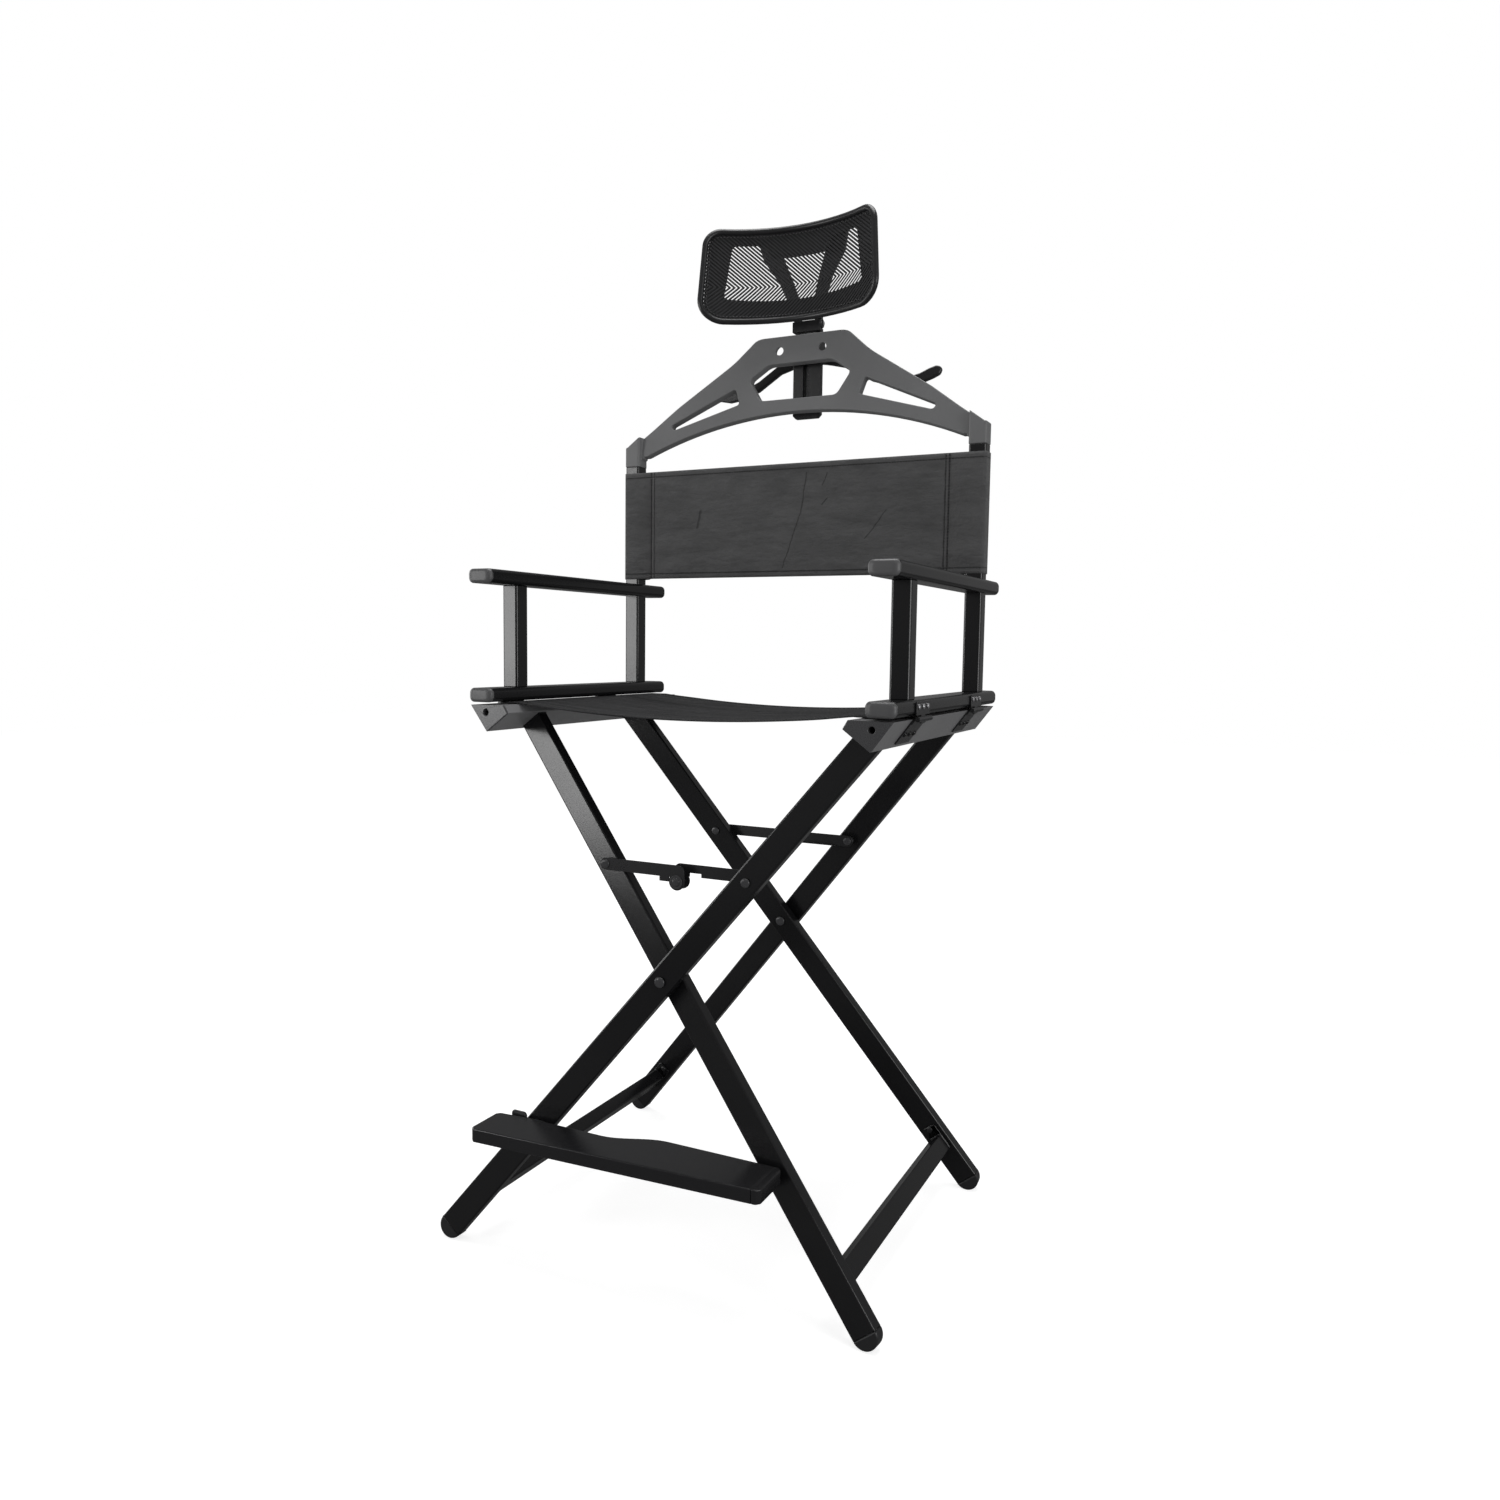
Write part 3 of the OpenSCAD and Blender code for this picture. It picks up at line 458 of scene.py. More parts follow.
@dataclass
class FinishBook:
    """Builds each finish once and hands it out by name."""

    made: dict[Finish, Material] = field(default_factory=dict)

    def build(self) -> None:
        """Builds every finish of the chair."""
        coat, plastic = PowderCoat, MouldedPlastic
        recipes = {
            Finish.TUBE: coat("coat_tube", (0.0045, 0.0045, 0.005), 0.2),
            Finish.BRACKET: coat("coat_bracket", (0.13, 0.13, 0.133), 0.34),
            Finish.BRACKET_CAP: coat("coat_bracket_cap", (0.045, 0.045, 0.047), 0.27),
            Finish.HINGE: coat("coat_hinge", (0.012, 0.012, 0.013), 0.28, 0.00003),
            Finish.RIVET: coat("coat_rivet", (0.035, 0.035, 0.037), 0.2, 0.00002),
            Finish.STEEL: PlainSteel("zinc_steel", (0.72, 0.72, 0.74)),
            Finish.CAP: plastic("cap_plastic", (0.075, 0.075, 0.077), 0.4),
            Finish.CANVAS: WovenCanvas(
                "charcoal_canvas", (0.072, 0.072, 0.073),
                grooves=(("x", 243.0), ("x", 237.5), ("z", 915.0), ("z", 1067.0)),
                creases=(
                    ((25.5, 1059.0), (17.0, 1010.0), 1.6), ((17.0, 1010.0), (-13.0, 920.0), 1.3),
                    ((59.0, 1057.0), (50.0, 1040.0), 1.2), ((57.0, 1020.0), (49.0, 1012.0), 1.5),
                    ((-154.0, 1010.0), (-160.0, 985.0), 3.0),
                    ((120.0, 960.0), (150.0, 1000.0), 1.2),
                ),
            ),
            # painted shade: the seat is the same charcoal canvas as the back, toned much darker to
            # offset the stronger light on its top
            Finish.SEAT: WovenCanvas(
                "charcoal_seat_canvas", (0.023, 0.023, 0.024),
                wrinkle=0.009, draw=(2.2, 30.0, 30.0), ripple_light_and_shade=1.3, sheen=0.04, glint=0.1,
                grooves=(("y", -178.0 + FRAME_SHIFT_Y), ("y", 185.0 + FRAME_SHIFT_Y)),
            ),
            Finish.BOARD: plastic("board_plastic", (0.009, 0.009, 0.01), 0.2),
            Finish.PLATE: plastic("plate_plastic", (0.125, 0.126, 0.128), 0.5, 0.00014),
            Finish.PLASTIC: plastic("black_plastic", (0.014, 0.014, 0.015), 0.33),
            Finish.MESH: OpenNet("headrest_net", (0.017, 0.017, 0.018)),
            Finish.NET_BACK: plastic("net_backing", (0.004, 0.004, 0.0045), 0.6),
            Finish.THREAD: SewingThread("dark_thread", (0.009, 0.009, 0.01)),
        }
        for name, recipe in recipes.items():
            self.made[name] = recipe.build()

    def paint(self, piece: Object, name: Finish) -> None:
        """Gives a piece one finish."""
        piece.data.materials.clear()
        piece.data.materials.append(self.made[name])

    def dress(self, piece: Object, name: Finish) -> None:
        """Gives a piece one finish."""
        self.paint(piece, name)


# Mesh work


def add_object(name: str, data: bpy.types.ID) -> Object:
    """Puts data into the scene as an object."""
    made = bpy.data.objects.new(name, data)
    bpy.context.scene.collection.objects.link(made)
    return made


def new_piece(
    name: str, points: Sequence[Vector], faces: Sequence[Sequence[int]],
    uvs: Optional[Sequence[Pair]] = None,
) -> Object:
    """Makes a piece from points and faces.

    Args:
        name: the piece's name.
        points: corners in metres of the frame.
        faces: corner numbers of each face.
        uvs: one cloth coordinate a point, in metres.

    Returns:
        The object, at the origin.
    """
    mesh = bpy.data.meshes.new(name)
    mesh.from_pydata([tuple(p) for p in points], [], [tuple(f) for f in faces])
    if uvs is not None:
        layer = mesh.uv_layers.new(name="cloth")
        for loop in mesh.loops:
            layer.data[loop.index].uv = uvs[loop.vertex_index]
    mesh.update()
    return add_object(name, mesh)


def grid_faces(rows: int, columns: int, wrap: bool = False) -> list[Sequence[int]]:
    """Faces of a grid of points stored row by row, with the last column joined on if wrapped."""
    return [
        (r * columns + c, r * columns + n, (r + 1) * columns + n, (r + 1) * columns + c)
        for r in range(rows - 1)
        for c, n in ((c, (c + 1) % columns) for c in range(columns if wrap else columns - 1))
    ]


def lidded_faces(rows: int, columns: int) -> list[Sequence[int]]:
    """Faces of a tube of rows of points, with a lid on each end."""
    lids = [tuple(range(columns)), tuple(range((rows - 1) * columns, rows * columns))]
    return grid_faces(rows, columns, wrap=True) + lids


def outward(piece: Object) -> None:
    """Turns a closed piece's faces outwards."""
    work = bmesh.new()
    work.from_mesh(piece.data)
    bmesh.ops.recalc_face_normals(work, faces=work.faces)
    work.to_mesh(piece.data)
    work.free()


def shade(piece: Object, angle: float) -> None:
    """Shades a piece smooth, with creases above an angle in degrees."""
    piece.data.shade_smooth()
    piece.data.set_sharp_from_angle(angle=math.radians(angle))


def round_edges(piece: Object, width: float, segments: int = 3, angle: float = 40.0) -> None:
    """Rounds a piece's edges above an angle, in degrees, by a width in millimetres."""
    bevel = piece.modifiers.new("round", "BEVEL")
    bevel.width = width * MM
    bevel.segments = segments
    bevel.limit_method = "ANGLE"
    bevel.angle_limit = math.radians(angle)
    bevel.use_clamp_overlap = False
    bevel.harden_normals = False
    weighted = piece.modifiers.new("weighted", "WEIGHTED_NORMAL")
    weighted.keep_sharp = True


def thicken(piece: Object, thickness: float) -> None:
    """Gives a sheet its wall, in millimetres, with a live Solidify about its middle."""
    wall = piece.modifiers.new("wall", "SOLIDIFY")
    wall.thickness = thickness * MM
    wall.offset = 0.0


def settle(piece: Object) -> Object:
    """Turns a piece with modifiers into a plain mesh and drops the modifiers."""
    bpy.context.view_layer.update()
    graph = bpy.context.evaluated_depsgraph_get()
    seen = piece.evaluated_get(graph)
    mesh = bpy.data.meshes.new_from_object(seen, preserve_all_data_layers=True, depsgraph=graph)
    piece.modifiers.clear()
    piece.data = mesh
    return piece


def solid(
    name: str, points: Sequence[Vector], faces: Sequence[Sequence[int]], angle: float
) -> Object:
    """Makes a closed piece that faces outwards and is smooth below an angle in degrees."""
    made = new_piece(name, points, faces)
    outward(made)
    shade(made, angle)
    return made


def sweep(
    name: str, path: Sequence[Vector], section: Sequence[Pair],
    across: Callable[[Vector], Vector], closed: bool = False, angle: float = 50.0,
) -> Object:
    """Carries a section along a path.

    Args:
        name: the piece's name.
        path: points in metres of the frame.
        section: the outline, as (across, up) pairs in metres.
        across: gives, at a path point, the direction that the section's first axis stays near.
        closed: whether the path joins its own start.
        angle: the least angle of a crease, in degrees.

    Returns:
        A closed piece.
    """
    count, sides = len(path), len(section)
    points: list[Vector] = []
    for i, centre in enumerate(path):
        before = path[(i - 1) % count] if closed or i > 0 else centre
        after = path[(i + 1) % count] if closed or i < count - 1 else centre
        along = (after - before).normalized()
        out = across(centre)
        first = (out - along * out.dot(along)).normalized()
        second = along.cross(first)
        points += [centre + first * a + second * b for a, b in section]
    if not closed:
        return solid(name, points, lidded_faces(count, sides), angle)
    start = (count - 1) * sides
    seam = [(start + c, start + (c + 1) % sides, (c + 1) % sides, c) for c in range(sides)]
    return solid(name, points, grid_faces(count, sides, wrap=True) + seam, angle)


def oval(width: float, height: float, sides: int, power: float) -> list[Pair]:
    """A soft-cornered oval section in metres, from sizes in millimetres."""
    turns = [math.tau * i / sides for i in range(sides)]
    return [
        tuple(
            math.copysign(abs(part) ** (2 / power), part) * size / 2 * MM
            for part, size in ((math.cos(turn), width), (math.sin(turn), height))
        )
        for turn in turns
    ]


def slab(
    name: str, outline: Sequence[Pair], low: float, high: float,
    to_frame: Callable[[float, float, float], Vector],
) -> Object:
    """Makes a flat piece from an outline.

    Args:
        name: the piece's name.
        outline: corners of the outline, in millimetres, in order.
        low: depth of the first face.
        high: depth of the second face.
        to_frame: turns (first, second, depth) into metres of the frame.

    Returns:
        A closed piece.
    """
    count = len(outline)
    points = [to_frame(a, b, depth) for depth in (low, high) for a, b in outline]
    faces = [tuple(range(count)), tuple(range(2 * count - 1, count - 1, -1))]
    faces += [(i, count + i, count + (i + 1) % count, (i + 1) % count) for i in range(count)]
    made = new_piece(name, points, faces)
    outward(made)
    return made


def rounded_loop(
    width: float, height: float, radius: float, steps: int, straight: int
) -> list[Pair]:
    """Points of a rounded rectangle about the origin, in millimetres.

    Args:
        width: whole width.
        height: whole height.
        radius: corner radius.
        steps: points a corner.
        straight: points along each straight side.

    Returns:
        The points as (across, up), anticlockwise from the right side.
    """

    def on_corner(number: int, part: float) -> Pair:
        """A point on a corner, at a part of its quarter turn."""
        sx, sy = ((1, 1), (-1, 1), (-1, -1), (1, -1))[number % 4]
        turn = math.radians(90 * (number % 4) + 90 * part)
        cx, cy = sx * (width / 2 - radius), sy * (height / 2 - radius)
        return cx + radius * math.cos(turn), cy + radius * math.sin(turn)

    out: list[Pair] = []
    for number in range(4):
        out += [on_corner(number, i / steps) for i in range(steps + 1)]
        (x1, y1), (x2, y2) = out[-1], on_corner(number + 1, 0)
        between = [k / straight for k in range(1, straight)]
        out += [(x1 + (x2 - x1) * t, y1 + (y2 - y1) * t) for t in between]
    return out


# What repeats


@dataclass
class RunTree:
    """A Geometry Nodes tree that sets one small form again and again along lines."""

    SIZES: ClassVar[tuple] = ("Spacing", "Length", "Thickness")
    name: str
    tree: Optional[bpy.types.NodeTree] = None
    sockets: dict[str, str] = field(default_factory=dict)

    def build(self) -> None:
        """Builds the tree, with its sizes as named inputs."""
        tree = bpy.data.node_groups.new(self.name, "GeometryNodeTree")
        face = tree.interface
        face.new_socket("Geometry", in_out="INPUT", socket_type="NodeSocketGeometry")
        for key in (*self.SIZES, "Finish"):
            kind = "NodeSocketMaterial" if key == "Finish" else "NodeSocketFloat"
            self.sockets[key] = face.new_socket(key, in_out="INPUT", socket_type=kind).identifier
        face.new_socket("Geometry", in_out="OUTPUT", socket_type="NodeSocketGeometry")
        add = tree.nodes.new
        start, end = add("NodeGroupInput"), add("NodeGroupOutput")
        curve, points = add("GeometryNodeMeshToCurve"), add("GeometryNodeResampleCurve")
        points.mode = "LENGTH"
        tangent, turn = add("GeometryNodeInputTangent"), add("FunctionNodeAlignRotationToVector")
        turn.axis = "X"
        ball = add("GeometryNodeMeshUVSphere")
        for key, value in (("Segments", 6), ("Rings", 4), ("Radius", 0.5)):
            ball.inputs[key].default_value = value
        sizes, spread = add("ShaderNodeCombineXYZ"), add("GeometryNodeInstanceOnPoints")
        real, finish = add("GeometryNodeRealizeInstances"), add("GeometryNodeSetMaterial")
        for source, output, target, key in (
            (start, "Geometry", curve, "Mesh"), (curve, "Curve", points, "Curve"),
            (start, "Spacing", points, "Length"), (tangent, 0, turn, "Vector"),
            (start, "Length", sizes, "X"), (start, "Thickness", sizes, "Y"),
            (start, "Thickness", sizes, "Z"), (points, "Curve", spread, "Points"),
            (ball, "Mesh", spread, "Instance"), (turn, "Rotation", spread, "Rotation"),
            (sizes, "Vector", spread, "Scale"), (spread, "Instances", real, "Geometry"),
            (real, "Geometry", finish, "Geometry"), (start, "Finish", finish, "Material"),
            (finish, "Geometry", end, "Geometry"),
        ):
            tree.links.new(source.outputs[output], target.inputs[key])
        self.tree = tree

    def run(
        self, name: str, lines: Iterable[Sequence[Vector]], sizes: Point, finish: Material
    ) -> Object:
        """Sets the form along lines.

        Args:
            name: the piece's name.
            lines: points of each line, in metres of the frame.
            sizes: spacing, length along the line and thickness, in millimetres.
            finish: the material.

        Returns:
            A plain mesh.
        """
        points: list[Vector] = []
        edges: list[tuple[int, int]] = []
        for line in lines:
            first = len(points)
            points += list(line)
            edges += [(first + i, first + i + 1) for i in range(len(line) - 1)]
        mesh = bpy.data.meshes.new(name)
        mesh.from_pydata([tuple(p) for p in points], edges, [])
        made = add_object(name, mesh)
        nodes = made.modifiers.new("run", "NODES")
        nodes.node_group = self.tree
        for key, value in zip(self.SIZES, sizes):
            nodes[self.sockets[key]] = value * MM
        nodes[self.sockets["Finish"]] = finish
        settle(made)
        shade(made, 80.0)
        return made


# Sub-assemblies

# A stitch's spacing, length and thickness in millimetres, and the gap in metres that is welded.
SEWN = (4.2, 2.9, 1.3)
WELD = 0.00001

# Angles between faces: melted together below the first, smooth and rounded by the degrees after.
COPLANAR = math.radians(1.0)
SMOOTH_BELOW = 30.0
ROUND_ABOVE = 38.0


@dataclass
class Workshop:
    """What every sub-assembly works with: the frame's nodes, the finishes and the run tree."""

    finishes: FinishBook
    runs: RunTree
    nodes: dict[str, Object] = field(default_factory=lambda: frame["nodes"])

    def body(self, node: str) -> str:
        """The body that a node rides on."""
        return self.nodes[node]["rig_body"]

    def keep(self, names: Iterable[str], finish: Finish) -> None:
        """Leaves nodes as they are and gives them a finish."""
        for name in names:
            self.finishes.paint(self.nodes[name], finish)
            LOG.info("kept %s", name)

    def soften(
        self, names: Iterable[str], finish: Finish, width: float, segments: int = 2,
        shape: Optional[Callable[[bmesh.types.BMesh], None]] = None,
    ) -> None:
        """Stands a copy with rounded edges in for each node.

        Args:
            names: the nodes.
            finish: their finish.
            width: the rounding in millimetres.
            segments: steps of the rounding.
            shape: what to do to the mesh before its edges are rounded.
        """
        for name in names:
            work = bmesh.new()
            work.from_mesh(self.nodes[name].data)
            bmesh.ops.remove_doubles(work, verts=work.verts, dist=WELD)
            bmesh.ops.dissolve_limit(
                work, angle_limit=COPLANAR, verts=work.verts, edges=work.edges
            )
            if shape:
                shape(work)
            mesh = bpy.data.meshes.new(name + "_skin")
            work.to_mesh(mesh)
            work.free()
            piece = add_object(name + "_skin", mesh)
            shade(piece, SMOOTH_BELOW)
            round_edges(piece, width, segments, ROUND_ABOVE)
            self.finish(piece, self.body(name), finish, [name])

    def finish(
        self, piece: Object, body: str, finish: Finish, stands_for: Sequence[str] = ()
    ) -> None:
        """Dresses a piece, lets it ride on a body and hides the nodes that it stands for."""
        self.finishes.dress(piece, finish)
        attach(piece, body)
        if stands_for:
            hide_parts(*stands_for)
        LOG.info("made %s on %s", piece.name, body)

    def stitch(
        self, name: str, lines: Iterable[Sequence[Vector]], body: str,
        finish: Finish = Finish.THREAD, sizes: Point = SEWN,
    ) -> Object:
        """Sews along lines, in metres of the frame, and lets the stitches ride on a body."""
        thread = self.runs.run(name, lines, sizes, self.finishes.made[finish])
        self.finish(thread, body, finish)
        return thread


@dataclass
class Sides:
    """The two sides: rails, posts, caps, hinge leaves and seat rods."""

    edge: float = 0.7
    cap_round: tuple = (9.0, 4.2)
    cap_corner: float = 7.0
    cap_depth: float = 5.4
    cap_len: float = 6.0
    cap_rows: int = 10

    def build(self, shop: Workshop) -> None:
        """Dresses both sides."""
        for side in ("left", "right"):
            tubes = [f"{side}_{n}" for n in ("arm_rail", "front_post", "back_post", "seat_rail")]
            shop.soften(tubes, Finish.TUBE, self.edge)
            self._caps(shop, f"{side}_arm_caps")
            self._caps(shop, f"{side}_seat_caps")
            shop.soften([f"{side}_upper_leaves"], Finish.HINGE, 0.4)
            shop.keep([f"{side}_leaf_screws", f"{side}_seat_rod"], Finish.STEEL)

    def _caps(self, shop: Workshop, node: str) -> None:
        """Makes a rail's two pillow-shaped end caps in the place of one node."""
        low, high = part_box(node)
        middle = (low + high) / 2
        wide, tall = (high.x - low.x) / MM, (high.z - low.z) / MM
        rings: list[tuple[float, list[Pair]]] = []
        for k in range(self.cap_rows):
            turn = math.pi / 2 * k / (self.cap_rows - 1)
            side_in, top_in = (r * (1 - math.sin(turn)) for r in self.cap_round)
            inner = wide - 2 * side_in, tall - 2 * top_in, self.cap_corner - top_in
            rings.append((self.cap_depth * (1 - math.cos(turn)), rounded_loop(*inner, 7, 1)))
        rings.append((self.cap_len, rounded_loop(wide, tall, self.cap_corner, 7, 1)))
        faces = lidded_faces(len(rings), len(rings[0][1]))
        for end, tip, where, finish in (
            (-1, low.y, "front", Finish.CAP), (1, high.y, "rear", Finish.PLASTIC)
        ):
            points = [
                Vector((middle.x + a * MM, tip - end * depth * MM, middle.z + b * MM))
                for depth, ring in rings for a, b in ring
            ]
            cap = solid(f"{node}_{where}", points, faces, 60.0)
            shop.finish(cap, shop.body(node), finish, [node])


@dataclass
class Frames:
    """The two crossed frames with their brackets, legs, stretchers, feet and rivets."""

    edge: float = 0.7
    slant_top: tuple = (297.0, 718.4)
    slant: float = math.atan2(26.6, 35.4)
    hinge_ys: tuple = (-131.0, 110.0)
    head_profile: tuple = ((1.9, 3.6), (2.9, 3.6), (3.9, 2.6))
    head_sides: int = 20
    head_step: float = 17.0
    head_down: float = 22.0

    def build(self, shop: Workshop) -> None:
        """Dresses both frames."""
        tubes = ["front_leg_a", "rear_leg_a", "front_leg_b", "rear_leg_b"]
        rivets = ["crossing_bolts", "brace_rivets_a", "brace_rivets_b", "footrest_stud"]
        for names, finish, width, segments in (
            (["left_bracket", "right_bracket"], Finish.BRACKET, 1.2, 3),
            (["left_bracket_caps", "right_bracket_caps"], Finish.BRACKET_CAP, 0.9, 3),
            (["left_lower_leaves", "right_lower_leaves"], Finish.HINGE, 0.4, 2),
            (tubes + ["stretcher_a", "stretcher_b"], Finish.TUBE, self.edge, 2),
            (["feet_a", "feet_b"], Finish.PLASTIC, 2.0, 3),
            (rivets, Finish.RIVET, 0.5, 2),
            (["stretcher_screws_a", "stretcher_screws_b"], Finish.HINGE, 0.4, 2),
        ):
            shop.soften(names, finish, width, segments)
        shop.keep(["crossing_washers"], Finish.CAP)
        shop.keep(["left_hinge_pins", "right_hinge_pins"], Finish.HINGE)
        for side in Side:
            self._leaf_rivets(shop, side)

    def _leaf_rivets(self, shop: Workshop, side: Side) -> None:
        """Puts black heads on the rivets of a bracket's lower hinge leaves."""
        cos, sin = math.cos(self.slant), math.sin(self.slant)
        count, rings = self.head_sides, len(self.head_profile)
        points, faces = [], []
        for y in [y + step * self.head_step for y in self.hinge_ys for step in (-1, 0, 1)]:
            start = len(points)
            faces += [tuple(start + i for i in face) for face in lidded_faces(rings, count)]
            for (out, radius), k in itertools.product(self.head_profile, range(count)):
                turn = math.tau * k / count
                up = radius * math.sin(turn) - self.head_down
                x = self.slant_top[0] + out * cos + up * sin
                z = self.slant_top[1] - out * sin + up * cos
                points.append(place(side.value * x, y + radius * math.cos(turn), z))
        name = side.name.lower()
        heads = solid(f"{name}_leaf_heads", points, faces, 50.0)
        shop.finish(heads, shop.body(f"{name}_lower_leaves"), Finish.TUBE)


@dataclass
class Braces:
    """The folding brace links and their knuckles."""

    edge: float = 0.35

    def build(self, shop: Workshop) -> None:
        """Dresses the braces."""
        links = [f"{end}_link_{leg}" for end in ("front", "rear") for leg in ("a", "b")]
        shop.soften(links, Finish.HINGE, self.edge)
        shop.soften(["front_knuckle_rivet", "rear_knuckle_rivet"], Finish.RIVET, self.edge)


@dataclass
class Footrest:
    """The footrest board with its end cap, bracket and bolt."""

    edge: float = 1.6

    def build(self, shop: Workshop) -> None:
        """Dresses the footrest."""
        shop.soften(["footrest_board", "footrest_end_cap"], Finish.BOARD, self.edge, 4)
        shop.soften(["footrest_bracket"], Finish.HINGE, 0.4)
        shop.keep(["footrest_bolt"], Finish.STEEL)


@dataclass
class SeatCanvas:
    """The sagging canvas seat, held by its hems in the seat rails."""

    half: float = 270.8
    flat_half: float = 238.0
    edge_z: float = 721.7
    sag: float = 15.0
    lift: float = 1.6
    ripple: float = 0.5
    front: float = -192.0
    back: float = 199.0
    thickness: float = 1.4
    hem: float = 14.0
    across: int = 96
    deep: int = 66
    lift_reach: float = 18.0
    ripple_reach: float = 60.0
    anchor: Point = (-268.0, 0.0, 720.0)
    folded: float = 0.16

    def height(self, x: float, y: float) -> float:
        """Height of the canvas at a point, with slight draws towards its corners."""
        arch = max(0.0, 1 - (x / self.flat_half) ** 2)
        end = min(y - self.front, self.back - y)
        lift = self.lift * math.exp(-end / self.lift_reach) * arch
        near = math.exp(-((abs(x) - self.flat_half) / self.ripple_reach) ** 2)
        ripple = self.ripple * math.sin(x / 21.0 + y / 60.0) * near
        plain = self.edge_z - self.thickness / 2 - self.sag * arch + lift
        return plain + (ripple if abs(x) < self.flat_half else 0.0)

    def build(self, shop: Workshop) -> None:
        """Makes the canvas, its end hems and their stitches."""
        points, uvs = [], []
        for j, i in itertools.product(range(self.deep + 1), range(self.across + 1)):
            y = self.front + (self.back - self.front) * j / self.deep
            x = self.half * (2 * i / self.across - 1)
            points.append(place(x, y, self.height(x, y)))
            uvs.append((x * MM, y * MM))
        seat = new_piece("seat_cloth", points, grid_faces(self.deep + 1, self.across + 1), uvs)
        shade(seat, 80.0)
        thicken(seat, self.thickness)
        settle(seat)
        shop.finish(seat, "left_side", Finish.SEAT, ["seat_canvas"])
        xs = [self.flat_half * (2 * i / 60 - 1) for i in range(61)]
        lines = [
            [place(x, y, self.height(x, y) + self.thickness / 2) for x in xs]
            for y in (self.front + self.hem, self.back - self.hem)
        ]
        for piece in (seat, shop.stitch("seat_stitches", lines, "left_side")):
            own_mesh(piece)


